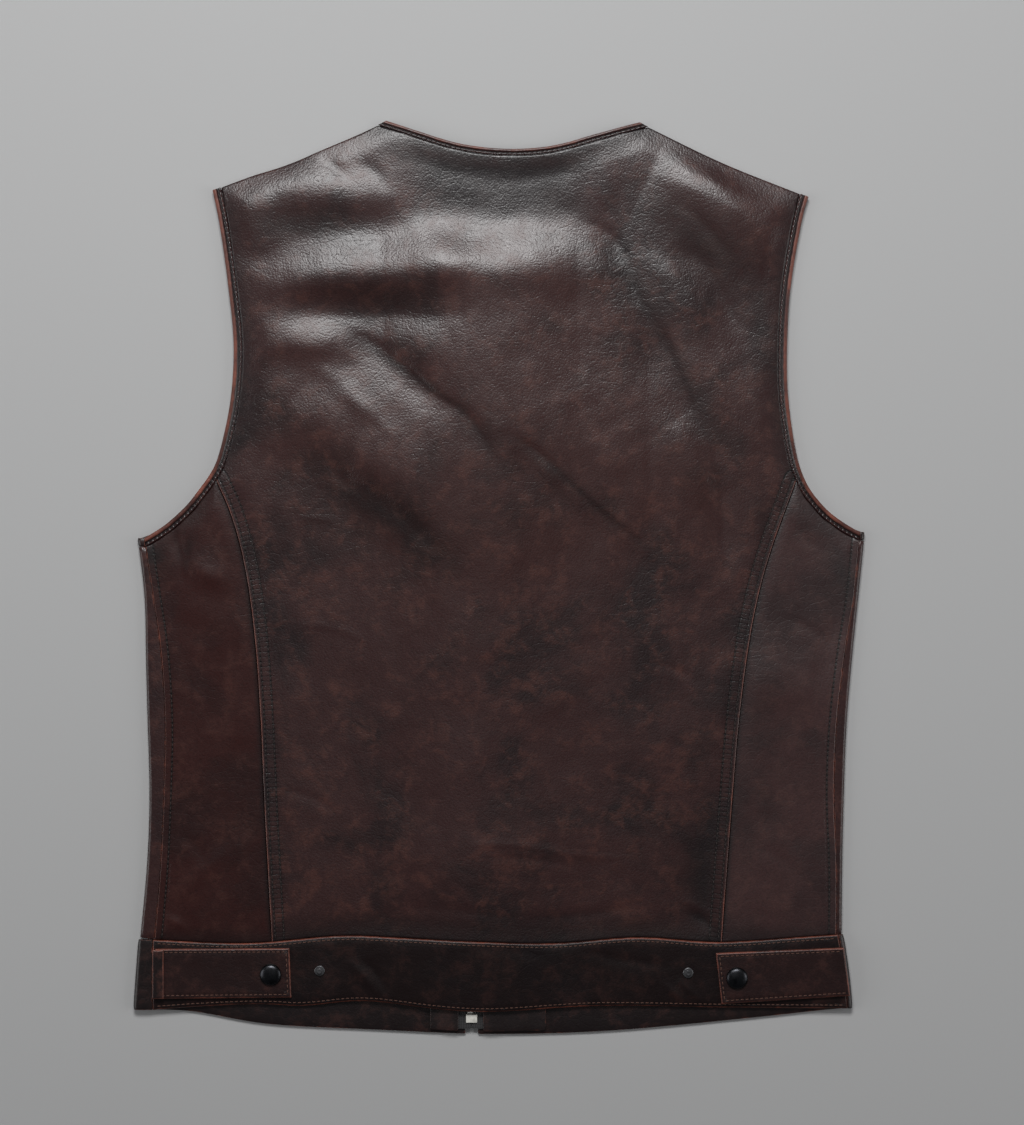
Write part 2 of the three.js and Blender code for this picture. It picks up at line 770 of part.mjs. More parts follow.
function backCentre() {
  const borders = {};
  SIDES.forEach((side) => {
    const gapSign = side === 'left' ? 1 : -1;
    const armhole = backArmhole(side).panel.slice(ARMHOLE_CELLS.side + 1);
    borders[side] = [...princessLine(side, gapSign), ...armhole];
  });
  const lower = bandTopLine
    .filter((point) => point.x > borders.left[0].x && point.x < borders.right[0].x)
    .map((point) => new THREE.Vector2(point.x, point.y + SEAM_GAP));
  lower.unshift(borders.left[0].clone());
  lower.push(borders.right[0].clone());

  const shoulders = {};
  SIDES.forEach((side) => {
    const line = shoulderLines[side];
    const end = lengthOf(line) - ARMHOLE_BINDING.width - SEAM_GAP;
    const start = NECK_BINDING.miter + SEAM_GAP;
    const distances = evenDistances(start, end - PRINCESS_WELT.width, SHOULDER_CELLS);
    shoulders[side] = pointsAt(line, [...distances, end]);
  });
  const neck = backNeck().panel.slice(1, -1);
  const upper = [...shoulders.left.slice().reverse(), ...neck, ...shoulders.right];
  const lowerEven = resampledWithEdges(lower, upper.length - 1, PRINCESS_WELT.width, PRINCESS_WELT.width);
  const grid = patch(lowerEven, upper, borders.left, borders.right);
  const princess = { left: princessLine('left', 0), right: princessLine('right', 0) };
  const rows = grid.map((row) =>
    row.map((point) => {
      const side = point.x < 0 ? 'left' : 'right';
      const toSeam = distanceToLine(point.x, point.y, princess[side]);
      return pairAt(point, backTop(point.x, point.y) + weltHeight(toSeam, PRINCESS_WELT), LEATHER);
    }),
  );
  return wall(rows);
}

function backSide(side) {
  const fold = bodyFolds[side];
  const sign = fold.sign;
  const princess = princessLine(side, sign);
  const upper = backArmhole(side).panel.slice(0, ARMHOLE_CELLS.side + 1);
  upper[ARMHOLE_CELLS.side] = princess[princess.length - 1].clone();
  const bottomX = fold.seamX(BODY_SECTIONS[0].y) - sign * SEAM_GAP;
  const bottomY = bandTopY(bottomX) + SEAM_GAP;
  const seam = evenDistances(bottomY, upper[0].y, SEAM_CELLS).map(
    (y) => new THREE.Vector2(fold.seamX(y) - sign * SEAM_GAP, y),
  );
  seam[SEAM_CELLS] = upper[0].clone();
  const lowerEnds = [seam[0].clone(), princess[0].clone()];
  const lower = resampledWithEdges(lowerEnds, ARMHOLE_CELLS.side, SIDE_WELT.width, 0);
  lower.slice(1, -1).forEach((point) => {
    point.y = bandTopY(point.x) + SEAM_GAP;
  });
  const grid = patch(lower, upper, seam, princess);
  return wall(
    grid.map((row) =>
      row.map((point) => {
        const toSeam = distanceToLine(point.x, point.y, seam);
        return pairAt(point, backTop(point.x, point.y) + weltHeight(toSeam, SIDE_WELT), LEATHER);
      }),
    ),
  );
}

// Rounded section of a binding: places across it, from the inner edge (-1) to the outer edge (1), and
// heights from its underside (-1) to its top (1).
const BINDING_SECTION = [
  { across: 1, up: 0 },
  { across: 0.75, up: 0.75 },
  { across: 0, up: 1 },
  { across: -0.75, up: 0.75 },
  { across: -1, up: 0 },
  { across: -0.75, up: -0.75 },
  { across: 0, up: -1 },
  { across: 0.75, up: -0.75 },
];

// A binding along a bound edge. `place` puts a point of the plan at a part of the binding's height.
function binding(stations, place) {
  const rings = stations.outer.map((outer, i) => {
    const inner = stations.inner[i];
    return BINDING_SECTION.map((corner) => {
      const t = (1 - corner.across) / 2;
      return place(mix(outer.x, inner.x, t), mix(outer.y, inner.y, t), (corner.up + 1) / 2);
    });
  });
  return ringSolid(rings);
}

function armholeBindingBack(side) {
  const { top, height } = ARMHOLE_BINDING;
  return binding(backArmhole(side), (x, y, up) => new THREE.Vector3(x, y, top - height + up * height));
}

// The neck's binding rises with the panel beside it, from the shoulders to the middle of the neck.
function neckBindingBack() {
  const { top, height } = NECK_BINDING;
  return binding(backNeck(), (x, y, up) => {
    const level = backTop(x, y) - LEATHER / 2 - height / 2;
    return new THREE.Vector3(x, y, Math.max(top - height, level) + up * height);
  });
}

// Pieces of the fronts, drawn in their flat pattern

function zipEdge(side) {
  return ZIP.x + (side === 'left' ? -1 : 1) * (ZIP.leatherGap / 2);
}

// The front's armhole edge, in the pattern: from the side seam, over the fold and in under the back,
// up to the shoulder.
function frontArmhole(side) {
  const fold = bodyFolds[side];
  const sign = fold.sign;
  const back = armholeLines[side];
  const startY = back[0].y;
  const tangent = fold.tangent(startY);
  const free = FRONT_ARMHOLE_STATIONS.map(({ at, inset }) => {
    const i = Math.round(at * (back.length - 1));
    const along = back[Math.min(i + 1, back.length - 1)].clone().sub(back[i - 1]).normalize();
    return { x: sign * (back[i].x - sign * along.y * inset), y: back[i].y + sign * along.x * inset };
  });
  const freeLine = curveThrough([{ x: tangent, y: startY }, ...free]).getSpacedPoints(LINE_STEPS);
  const shoulder = shoulderLines[side];
  const end = pointsAt(shoulder, [lengthOf(shoulder) - SEAM_GAP])[0];
  freeLine.push(new THREE.Vector2(sign * end.x, end.y - SEAM_GAP));
  const freeCells = resampled(freeLine, FRONT_CELLS.armhole);
  const strip = evenDistances(fold.seam(startY), tangent + fold.turn, FRONT_CELLS.strip);
  const turn = evenDistances(tangent + fold.turn, tangent, FRONT_CELLS.turn).slice(1);
  const wrapped = [...strip, ...turn].map((outward) => new THREE.Vector2(outward, startY));
  const stations = boundEdge([...wrapped, ...freeCells.slice(1)], 1, ARMHOLE_BINDING.width);
  const last = stations.outer.length - 1;
  const onShoulder = (distance) => {
    const point = pointsAt(shoulder, [lengthOf(shoulder) - distance])[0];
    return new THREE.Vector2(sign * point.x, point.y - SEAM_GAP);
  };
  [stations.inner, stations.panel].forEach((line, i) => {
    line[0].x = fold.seam(line[0].y);
    line[last] = onShoulder(ARMHOLE_BINDING.width + (1 + i) * SEAM_GAP);
  });
  return stations;
}

function frontNeck(side) {
  const outline = curveThrough(NECK_FRONT[side]).getSpacedPoints(LINE_STEPS).reverse();
  const inward = side === 'left' ? 1 : -1;
  const stations = boundEdge(resampled(outline, FRONT_CELLS.neck), inward, NECK_BINDING.width);
  const last = FRONT_CELLS.neck;
  [
    [stations.outer, SEAM_GAP],
    [stations.inner, NECK_BINDING.frontMiter],
    [stations.panel, NECK_BINDING.frontMiter + SEAM_GAP],
  ].forEach(([line, distance]) => {
    const point = pointsAt(shoulderLines[side], [distance])[0];
    line[last].set(point.x, point.y - SEAM_GAP);
  });
  return stations;
}

function armholeBindingFront(side) {
  const fold = bodyFolds[side];
  return binding(frontArmhole(side), (outward, y, up) => fold.place(outward, y, (1 - up) * LEATHER));
}

function neckBindingFront(side) {
  return binding(frontNeck(side), (x, y, up) => new THREE.Vector3(x, y, up * LEATHER));
}

function frontPanel(side) {
  const fold = bodyFolds[side];
  const sign = fold.sign;
  const cells = FRONT_CELLS;
  const armhole = frontArmhole(side).panel;
  const wrapCells = cells.strip + cells.turn;
  const seamTopY = armhole[0].y;
  const hemY = frontBandTopY(sign * fold.tangent(BODY_SECTIONS[0].y)) + SEAM_GAP;
  const edgeX = zipEdge(side);
  const neck = frontNeck(side).panel;
  const zipBottomY = frontBandTopY(edgeX) + SEAM_GAP;

  const rows = [];
  const addRow = (outer, inner, doubled) => {
    const innerOutward = sign * inner.x;
    const isLow = rows.length <= SEAM_CELLS;
    const tangent = isLow ? fold.tangent(outer.y) : outer.x;
    const seam = isLow ? fold.seam(outer.y) : tangent + fold.turn + LEAST_SEAM_STRIP;
    const turnedEdge = innerOutward + ZIP.turnedWidth;
    const columns = [
      ...evenDistances(seam, tangent + fold.turn, cells.strip),
      ...evenDistances(tangent + fold.turn, tangent, cells.turn).slice(1),
      ...evenDistances(tangent, turnedEdge + ZIP.turnedSlope, cells.across).slice(1),
      turnedEdge,
      innerOutward,
    ];
    rows.push(
      columns.map((outward, i) => {
        const t = clamp((tangent - outward) / (tangent - innerOutward), 0, 1);
        let y = mix(outer.y, inner.y, t);
        if (rows.length === 0) y = frontBandTopY(fold.place(outward, hemY, 0).x) + SEAM_GAP;
        const thickness = doubled && i >= columns.length - 2 ? TURNED_EDGE : LEATHER;
        return { outer: fold.place(outward, y, 0), inner: fold.place(outward, y, thickness) };
      }),
    );
  };
  for (let i = 0; i <= SEAM_CELLS; i += 1) {
    const t = i / SEAM_CELLS;
    const outerY = mix(hemY, seamTopY, t);
    addRow({ x: fold.tangent(outerY), y: outerY }, { x: edgeX, y: mix(zipBottomY, seamTopY, t) }, true);
  }
  const rest = armhole.slice(wrapCells + 1);
  const zipCells = rest.length - cells.neck - 1;
  rest.forEach((outer, i) => {
    const onZip = i <= zipCells;
    const zipY = mix(seamTopY, neck[0].y, (i + 1) / (zipCells + 1));
    addRow(outer, onZip ? { x: edgeX, y: zipY } : neck[i - zipCells], onZip);
  });
  const shoulder = shoulderLines[side].map((point) => point.clone()).sort((a, b) => a.x - b.x);
  rows[rows.length - 1].forEach((pair) => {
    const y = heightAlong(shoulder, pair.outer.x) - SEAM_GAP;
    pair.outer.y = y;
    pair.inner.y = y;
  });
  return wall(rows, (i, j) => i < SEAM_CELLS || j >= wrapCells);
}

// Waistband and tabs

const BAND_EDGE_DROP = 0.5;
const BAND_ROWS = [
  { from: 0, drop: BAND_EDGE_DROP },
  { from: 0.06, drop: 0 },
  { from: 0.5, drop: 0 },
  { from: 0.94, drop: 0 },
  { from: 1, drop: BAND_EDGE_DROP },
];

function bandBottom(x) {
  return plainBackTop(x) - LEATHER;
}

function bandTop(x) {
  return bandBottom(x) + BAND_THICKNESS;
}

// Height y of the waistband's side seams, from its top edge (0) to its bottom edge (1).
function bandSideY(side, from) {
  const x = bandFolds[side].seamX(BAND_TOP[0].y);
  return mix(bandTopY(x), heightAlong(bandBottomLine, x), from);
}

function waistbandBack() {
  const stations = 34;
  const rows = [];
  for (let i = 0; i <= stations; i += 1) {
    const t = i / stations;
    rows.push(
      BAND_ROWS.map((row) => {
        const leftX = bandFolds.left.seamX(bandSideY('left', row.from)) + SEAM_GAP;
        const rightX = bandFolds.right.seamX(bandSideY('right', row.from)) - SEAM_GAP;
        const x = mix(leftX, rightX, t);
        const y = mix(heightAlong(bandTopLine, x), heightAlong(bandBottomLine, x), row.from);
        const top = bandTop(x);
        return {
          outer: new THREE.Vector3(x, y, top - row.drop),
          inner: new THREE.Vector3(x, y, top - BAND_THICKNESS + row.drop),
        };
      }),
    );
  }
  return wall(rows);
}

function waistbandFront(side) {
  const fold = bandFolds[side];
  const sign = fold.sign;
  const innerEdge = sign * zipEdge(side);
  const stripCells = 2;
  const turnCells = 6;
  const acrossCells = 12;
  const rows = BAND_ROWS.map((row) => {
    const sideY = bandSideY(side, row.from);
    const seam = fold.seam(sideY);
    const tangent = fold.tangent(sideY);
    const columns = [
      ...evenDistances(seam, tangent + fold.turn, stripCells),
      ...evenDistances(tangent + fold.turn, tangent, turnCells).slice(1),
      ...evenDistances(tangent, innerEdge, acrossCells).slice(1),
    ];
    return columns.map((outward) => {
      const planX = fold.place(outward, sideY, 0).x;
      const ownY = mix(frontBandTopY(planX), heightAlong(frontHemLine, planX), row.from);
      const y = mix(sideY, ownY, smoothStep(tangent - outward, 0, FRONT_BAND_BLEND));
      return {
        outer: fold.place(outward, y, row.drop),
        inner: fold.place(outward, y, BAND_THICKNESS - row.drop),
      };
    });
  });
  return wall(rows);
}

const TAB_CELLS = { across: 3, along: 12 };

function tabBottom(x) {
  return bandTop(x) + SEAM_GAP;
}

function tabTop(x) {
  return tabBottom(x) + TAB_THICKNESS;
}

function waistTab(side) {
  const tab = TABS[side];
  const rows = [];
  for (let i = 0; i <= TAB_CELLS.along; i += 1) {
    const t = i / TAB_CELLS.along;
    const row = [];
    for (let j = 0; j <= TAB_CELLS.across; j += 1) {
      const s = j / TAB_CELLS.across;
      const x = mix(mix(tab.rootTop.x, tab.endTop.x, t), mix(tab.rootBottom.x, tab.endBottom.x, t), s);
      const y = mix(mix(tab.rootTop.y, tab.endTop.y, t), mix(tab.rootBottom.y, tab.endBottom.y, t), s);
      row.push(pairAt({ x, y }, tabTop(x), TAB_THICKNESS));
    }
    rows.push(row);
  }
  return wall(rows);
}

function tabRootStrip() {
  const strip = TAB_ROOT_STRIP;
  const rows = [strip.topY, (strip.topY + strip.bottomY) / 2, strip.bottomY].map((y) =>
    [strip.fromX, (strip.fromX + strip.toX) / 2, strip.toX].map((x) =>
      pairAt({ x, y }, tabTop(x) + SEAM_GAP + strip.thickness, strip.thickness),
    ),
  );
  return wall(rows);
}

const SNAP_SIDES = 24;
const SNAP_CAP_REACH = 7.6;

function turned(profile) {
  const points = profile.map((row) => new THREE.Vector2(row.radius, row.height));
  const geometry = new THREE.LatheGeometry(points, SNAP_SIDES);
  geometry.rotateX(Math.PI / 2);
  return geometry;
}

// Zip

const CHAIN_MIDDLE = ZIP.tapeBottom + ZIP.tapeThickness / 2;
const ZIP_BOX = { y: -309.8, width: 7.8, length: 5.5, height: 2.8 };

// The tapes meet below the box and pass on both sides of it.
function zipTape(side) {
  const sign = side === 'left' ? -1 : 1;
  const beside = (width) => width / 2 + SEAM_GAP;
  const boxLow = ZIP_BOX.y - ZIP_BOX.length / 2 - SEAM_GAP;
  const boxHigh = ZIP_BOX.y + ZIP_BOX.length / 2 + SEAM_GAP;
  const top = ZIP.topY - 1;
  const rows = [
    { y: ZIP.tapeEndY, inner: SEAM_GAP / 2 },
    { y: boxLow - SEAM_GAP, inner: SEAM_GAP / 2 },
    { y: boxLow, inner: beside(ZIP_BOX.width) },
    { y: boxHigh - SEAM_GAP, inner: beside(ZIP_BOX.width) },
    { y: boxHigh, inner: beside(ZIP.chainWidth) },
    ...evenDistances(boxHigh, top, 6).slice(1).map((y) => ({ y, inner: beside(ZIP.chainWidth) })),
  ];
  return wall(
    rows.map(({ y, inner }) =>
      [inner, ZIP.tapeHalfWidth].map((across) =>
        pairAt({ x: ZIP.x + sign * across, y }, ZIP.tapeBottom + ZIP.tapeThickness, ZIP.tapeThickness),
      ),
    ),
  );
}

// Facings lie on the tape by the zip and on the front beside it.

const FACINGS = {
  left: { innerAcross: 9.4, outerAcross: 29.0 },
  right: { innerAcross: 8.1, outerAcross: 52.2 },
};
const FACING_STEP = { from: 17, to: 24 };
const FACING_END_INSET = 2.5;
const FACING_ROWS = [
  { y: null, onBand: 1 },
  { y: -290, onBand: 1 },
  { y: -266, onBand: 1 },
  { y: -256, onBand: 0 },
  { y: -140, onBand: 0 },
  { y: -20, onBand: 0 },
  { y: 100, onBand: 0 },
  { y: 186, onBand: 0 },
];

function facing(side) {
  const sign = side === 'left' ? -1 : 1;
  const { innerAcross, outerAcross } = FACINGS[side];
  const overTape = FACING_TOP - FACING_THICKNESS;
  const rows = FACING_ROWS.map((row) => {
    const lowBottom = (row.onBand ? BAND_THICKNESS : LEATHER) + SEAM_GAP;
    const section = [
      { across: innerAcross, bottom: overTape },
      { across: FACING_STEP.from, bottom: overTape },
      { across: FACING_STEP.to, bottom: lowBottom },
      { across: outerAcross, bottom: lowBottom },
    ];
    return section.map(({ across, bottom }) => {
      const x = ZIP.x + sign * across;
      const y = row.y ?? heightAlong(frontHemLine, x) + FACING_END_INSET;
      return pairAt({ x, y }, bottom + FACING_THICKNESS, FACING_THICKNESS);
    });
  });
  return wall(rows);
}

const SLIDER = {
  y: 195,
  width: 8,
  footWidth: 6.4,
  length: 12,
  plate: 0.6,
  shoulder: 3,
  bevel: 1.2,
  bottom: 1.9,
  top: 5.7,
};
const BRIDGE = { width: 2.2, length: 6, barThickness: 0.5, postLength: 0.9 };
const PULL = {
  thickness: 0.9,
  width: 7,
  length: 32,
  eyeWidth: 5.4,
  eyeSlotWidth: 3.4,
  eyeSlotLength: 3.65,
  shoulder: 5.5,
  endRadius: 2,
};
const MERGE_DISTANCE = 1e-4;
const PULL_AXIS_Z = (BRIDGE.barThickness + SLIDER.bottom) / 2;

function zipChain() {
  const fromY = ZIP_BOX.y + ZIP_BOX.length / 2 + SEAM_GAP;
  const toY = SLIDER.y - SLIDER.length / 2 - SEAM_GAP;
  const geometry = new THREE.BoxGeometry(ZIP.chainWidth, toY - fromY, ZIP.chainThickness);
  geometry.translate(ZIP.x, (fromY + toY) / 2, CHAIN_MIDDLE);
  return geometry;
}

function zipBox() {
  const geometry = new THREE.BoxGeometry(ZIP_BOX.width, ZIP_BOX.length, ZIP_BOX.height);
  geometry.translate(ZIP.x, ZIP_BOX.y, CHAIN_MIDDLE);
  return geometry;
}

// The slider: two plates with a core between them, and the bridge under it that holds the pull tab.
async function zipSlider() {
  const wasm = await Module();
  wasm.setup();
  const asSolid = (geometry) => {
    geometry.deleteAttribute('normal');
    geometry.deleteAttribute('uv');
    const merged = mergeVertices(geometry, MERGE_DISTANCE);
    return new wasm.Manifold(
      new wasm.Mesh({
        numProp: 3,
        vertProperties: merged.attributes.position.array,
        triVerts: new Uint32Array(merged.index.array),
      }),
    );
  };
  const block = (width, length, low, high, y) => {
    const geometry = new THREE.BoxGeometry(width, length, high - low);
    geometry.translate(ZIP.x, y, (low + high) / 2);
    return asSolid(geometry);
  };
  const plate = (low) => {
    const half = SLIDER.length / 2;
    const shape = new THREE.Shape();
    shape.moveTo(-SLIDER.footWidth / 2, -half);
    shape.lineTo(SLIDER.footWidth / 2, -half);
    shape.lineTo(SLIDER.width / 2, half - SLIDER.shoulder);
    shape.lineTo(SLIDER.width / 2 - SLIDER.bevel, half);
    shape.lineTo(-SLIDER.width / 2 + SLIDER.bevel, half);
    shape.lineTo(-SLIDER.width / 2, half - SLIDER.shoulder);
    shape.closePath();
    const geometry = new THREE.ExtrudeGeometry(shape, { depth: SLIDER.plate, bevelEnabled: false });
    geometry.translate(ZIP.x, SLIDER.y, low);
    return asSolid(geometry);
  };
  const postAway = (BRIDGE.length - BRIDGE.postLength) / 2;
  const overlap = SLIDER.plate / 2;
  const parts = [
    plate(SLIDER.bottom),
    plate(SLIDER.top - SLIDER.plate),
    block(ZIP.chainWidth, SLIDER.length - 1, SLIDER.bottom + overlap, SLIDER.top - overlap, SLIDER.y),
    block(BRIDGE.width, BRIDGE.length, 0, BRIDGE.barThickness, SLIDER.y),
    block(BRIDGE.width, BRIDGE.postLength, 0, SLIDER.bottom + overlap, SLIDER.y - postAway),
    block(BRIDGE.width, BRIDGE.postLength, 0, SLIDER.bottom + overlap, SLIDER.y + postAway),
  ];
  const joined = parts.slice(1).reduce((sum, next) => sum.add(next), parts[0]);
  const mesh = joined.getMesh();
  const geometry = new THREE.BufferGeometry();
  geometry.setAttribute('position', new THREE.Float32BufferAttribute(mesh.vertProperties, 3));
  geometry.setIndex(Array.from(mesh.triVerts));
  geometry.computeVertexNormals();
  return geometry;
}

// The pull tab hangs by its top bar, which passes under the bridge and lies on the hinge's axis.
function zipPull() {
  const bar = PULL.thickness / 2;
  const half = PULL.width / 2;
  const eye = PULL.eyeWidth / 2;
  const end = -PULL.length;
  const shape = new THREE.Shape();
  shape.moveTo(-eye, bar);
  shape.lineTo(-eye, -PULL.shoulder);
  shape.lineTo(-half, -PULL.shoulder - 1);
  shape.lineTo(-half, end + PULL.endRadius);
  shape.quadraticCurveTo(-half, end, -half + PULL.endRadius, end);
  shape.lineTo(half - PULL.endRadius, end);
  shape.quadraticCurveTo(half, end, half, end + PULL.endRadius);
  shape.lineTo(half, -PULL.shoulder - 1);
  shape.lineTo(eye, -PULL.shoulder);
  shape.lineTo(eye, bar);
  shape.closePath();
  const slot = new THREE.Path();
  const slotHalf = PULL.eyeSlotWidth / 2;
  slot.moveTo(-slotHalf, -bar);
  slot.lineTo(slotHalf, -bar);
  slot.lineTo(slotHalf, -bar - PULL.eyeSlotLength);
  slot.lineTo(-slotHalf, -bar - PULL.eyeSlotLength);
  slot.closePath();
  shape.holes.push(slot);
  const flat = { depth: PULL.thickness, bevelEnabled: false, curveSegments: 4 };
  const geometry = new THREE.ExtrudeGeometry(shape, flat);
  geometry.translate(0, 0, -PULL.thickness / 2);
  return geometry;
}

// The vest

const vest = new THREE.Group();
vest.name = 'leather_vest';

function add(name, geometry, material, position = { x: 0, y: 0, z: 0 }) {
  const mesh = new THREE.Mesh(geometry, material);
  mesh.name = name;
  mesh.position.set(position.x, position.y, position.z);
  vest.add(mesh);
}

add('back_centre', backCentre(), MATERIALS.back);
add('waistband_back', waistbandBack(), MATERIALS.band);
add('neck_binding_back', neckBindingBack(), MATERIALS.binding);
add('tab_root_strip_left', tabRootStrip(), MATERIALS.band);

SIDES.forEach((side) => {
  add(`back_side_${side}`, backSide(side), MATERIALS.side);
  add(`front_${side}`, frontPanel(side), MATERIALS.front);
  add(`waistband_front_${side}`, waistbandFront(side), MATERIALS.band);
  add(`facing_${side}`, facing(side), MATERIALS.facing);
  add(`armhole_binding_back_${side}`, armholeBindingBack(side), MATERIALS.binding);
  add(`armhole_binding_front_${side}`, armholeBindingFront(side), MATERIALS.binding);
  add(`neck_binding_front_${side}`, neckBindingFront(side), MATERIALS.binding);
  add(`tab_${side}`, waistTab(side), MATERIALS.band);

  const { cap, stud } = TABS[side];
  const capZ = Math.max(tabTop(cap.x - SNAP_CAP_REACH), tabTop(cap.x + SNAP_CAP_REACH)) + SEAM_GAP;
  const studZ = Math.max(bandTop(stud.x - SNAP_CAP_REACH), bandTop(stud.x + SNAP_CAP_REACH)) + SEAM_GAP;
  add(`snap_cap_${side}`, turned(SNAP_CAP_PROFILE), MATERIALS.snap, { ...cap, z: capZ });
  add(`snap_stud_${side}`, turned(SNAP_STUD_PROFILE), MATERIALS.snap, { ...stud, z: studZ });
  add(`zip_tape_${side}`, zipTape(side), MATERIALS.tape);
});

add('zip_chain', zipChain(), MATERIALS.zipMetal);
add('zip_box', zipBox(), MATERIALS.zipMetal);
add('zip_slider', await zipSlider(), MATERIALS.zipMetal);
add('zip_pull', zipPull(), MATERIALS.zipMetal, { x: ZIP.x, y: SLIDER.y, z: PULL_AXIS_Z });

export default vest;
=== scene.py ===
"""The looks of a collarless leather vest that lies face down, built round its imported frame.

Lengths are metres in the frame: +Y from the hem to the neck, +Z up from the floor, and the
wearer's left at -X. Tables give millimetres, which their readers turn into metres.
"""

import functools
import math
import random

import bmesh
import bpy
import numpy as np
from bpy.props import FloatProperty, FloatVectorProperty, PointerProperty
from mathutils import Matrix, Vector, noise
from mathutils.bvhtree import BVHTree
from mathutils.kdtree import KDTree


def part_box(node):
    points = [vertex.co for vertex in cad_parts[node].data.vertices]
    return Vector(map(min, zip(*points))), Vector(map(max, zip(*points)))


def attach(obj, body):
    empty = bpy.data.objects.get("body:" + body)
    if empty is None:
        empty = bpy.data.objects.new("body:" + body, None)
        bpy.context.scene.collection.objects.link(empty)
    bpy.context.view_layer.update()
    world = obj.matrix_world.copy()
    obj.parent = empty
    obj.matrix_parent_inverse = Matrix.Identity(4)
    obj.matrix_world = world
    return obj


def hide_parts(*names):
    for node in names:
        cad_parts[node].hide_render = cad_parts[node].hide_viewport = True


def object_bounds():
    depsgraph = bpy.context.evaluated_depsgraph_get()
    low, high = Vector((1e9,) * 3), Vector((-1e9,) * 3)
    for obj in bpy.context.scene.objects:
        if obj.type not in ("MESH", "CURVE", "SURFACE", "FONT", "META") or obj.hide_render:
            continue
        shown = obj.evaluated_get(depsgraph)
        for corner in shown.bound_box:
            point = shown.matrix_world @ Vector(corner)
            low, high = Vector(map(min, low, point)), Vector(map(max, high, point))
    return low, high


bl_info = {
    "name": "Leather vest",
    "version": (1, 0, 0),
    "blender": (4, 5, 0),
    "location": "View3D > Sidebar > Vest",
    "description": "Builds the leather, stitching, snaps and zip of a vest lying face down",
    "category": "Object",
}

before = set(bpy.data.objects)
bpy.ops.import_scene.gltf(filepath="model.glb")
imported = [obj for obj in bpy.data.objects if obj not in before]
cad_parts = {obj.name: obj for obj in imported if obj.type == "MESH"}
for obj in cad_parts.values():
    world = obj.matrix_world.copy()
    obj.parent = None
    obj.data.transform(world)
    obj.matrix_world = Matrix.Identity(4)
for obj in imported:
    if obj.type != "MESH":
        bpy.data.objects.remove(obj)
CAD_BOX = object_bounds()

MM = 0.001
SIDES = ("left", "right")

# Reading the frame

WELD = 0.01 * MM
LEAST_UP = 0.15
CORNER_REACH = 1.5 * MM
CORNER_APART = 2.5 * MM
LINE_STEP = 0.5 * MM
JOIN_ANGLE = math.radians(35)
JOIN_SHAPE = math.radians(70)
SHARP_ANGLE = math.radians(50)
SMOOTHING_LEVELS = 2
RAY_ABOVE = 10 * MM
DOWN = Vector((0, 0, -1))

# Leather panels

PANEL_CELL = 1.75 * MM
BAND_CELL = 1.6 * MM
TAB_CELL = 1.2 * MM
STRIP_CELL = 0.8 * MM
EDGE_STEPS = np.array([0.0, 0.25, 0.7, 1.3]) * MM
UNDERSIDE_STRIDE = 5
LEATHER_THICKNESS = 1.5 * MM
BAND_THICKNESS = 2.8 * MM
TAB_THICKNESS = 2.4 * MM
STRIP_THICKNESS = 1.2 * MM
CREASE = 0.8
SOFTENED_WEAR = {"most": 0.7, "width": 0.8 * MM}
LEAST_FILL = 0.31

# Seams: distances of the stitched rows from the seam, and what the leather does beside them

PRINCESS_ROWS = (2.5 * MM, 8.6 * MM)
SIDE_ROWS = (4.9 * MM,)
ROW_GROOVE = {"width": 0.9 * MM, "depth": 0.15 * MM}
PUCKER_REACH = {"princess": 13 * MM, "side": 8 * MM}
FAR_ACROSS = 50 * MM
BAND_SEWING = {"row": 2.4 * MM, "reach": 4 * MM, "trim": 3 * MM}
TAB_SEWING = {"row": 2.3 * MM, "reach": 5 * MM, "trim": 2.6 * MM}
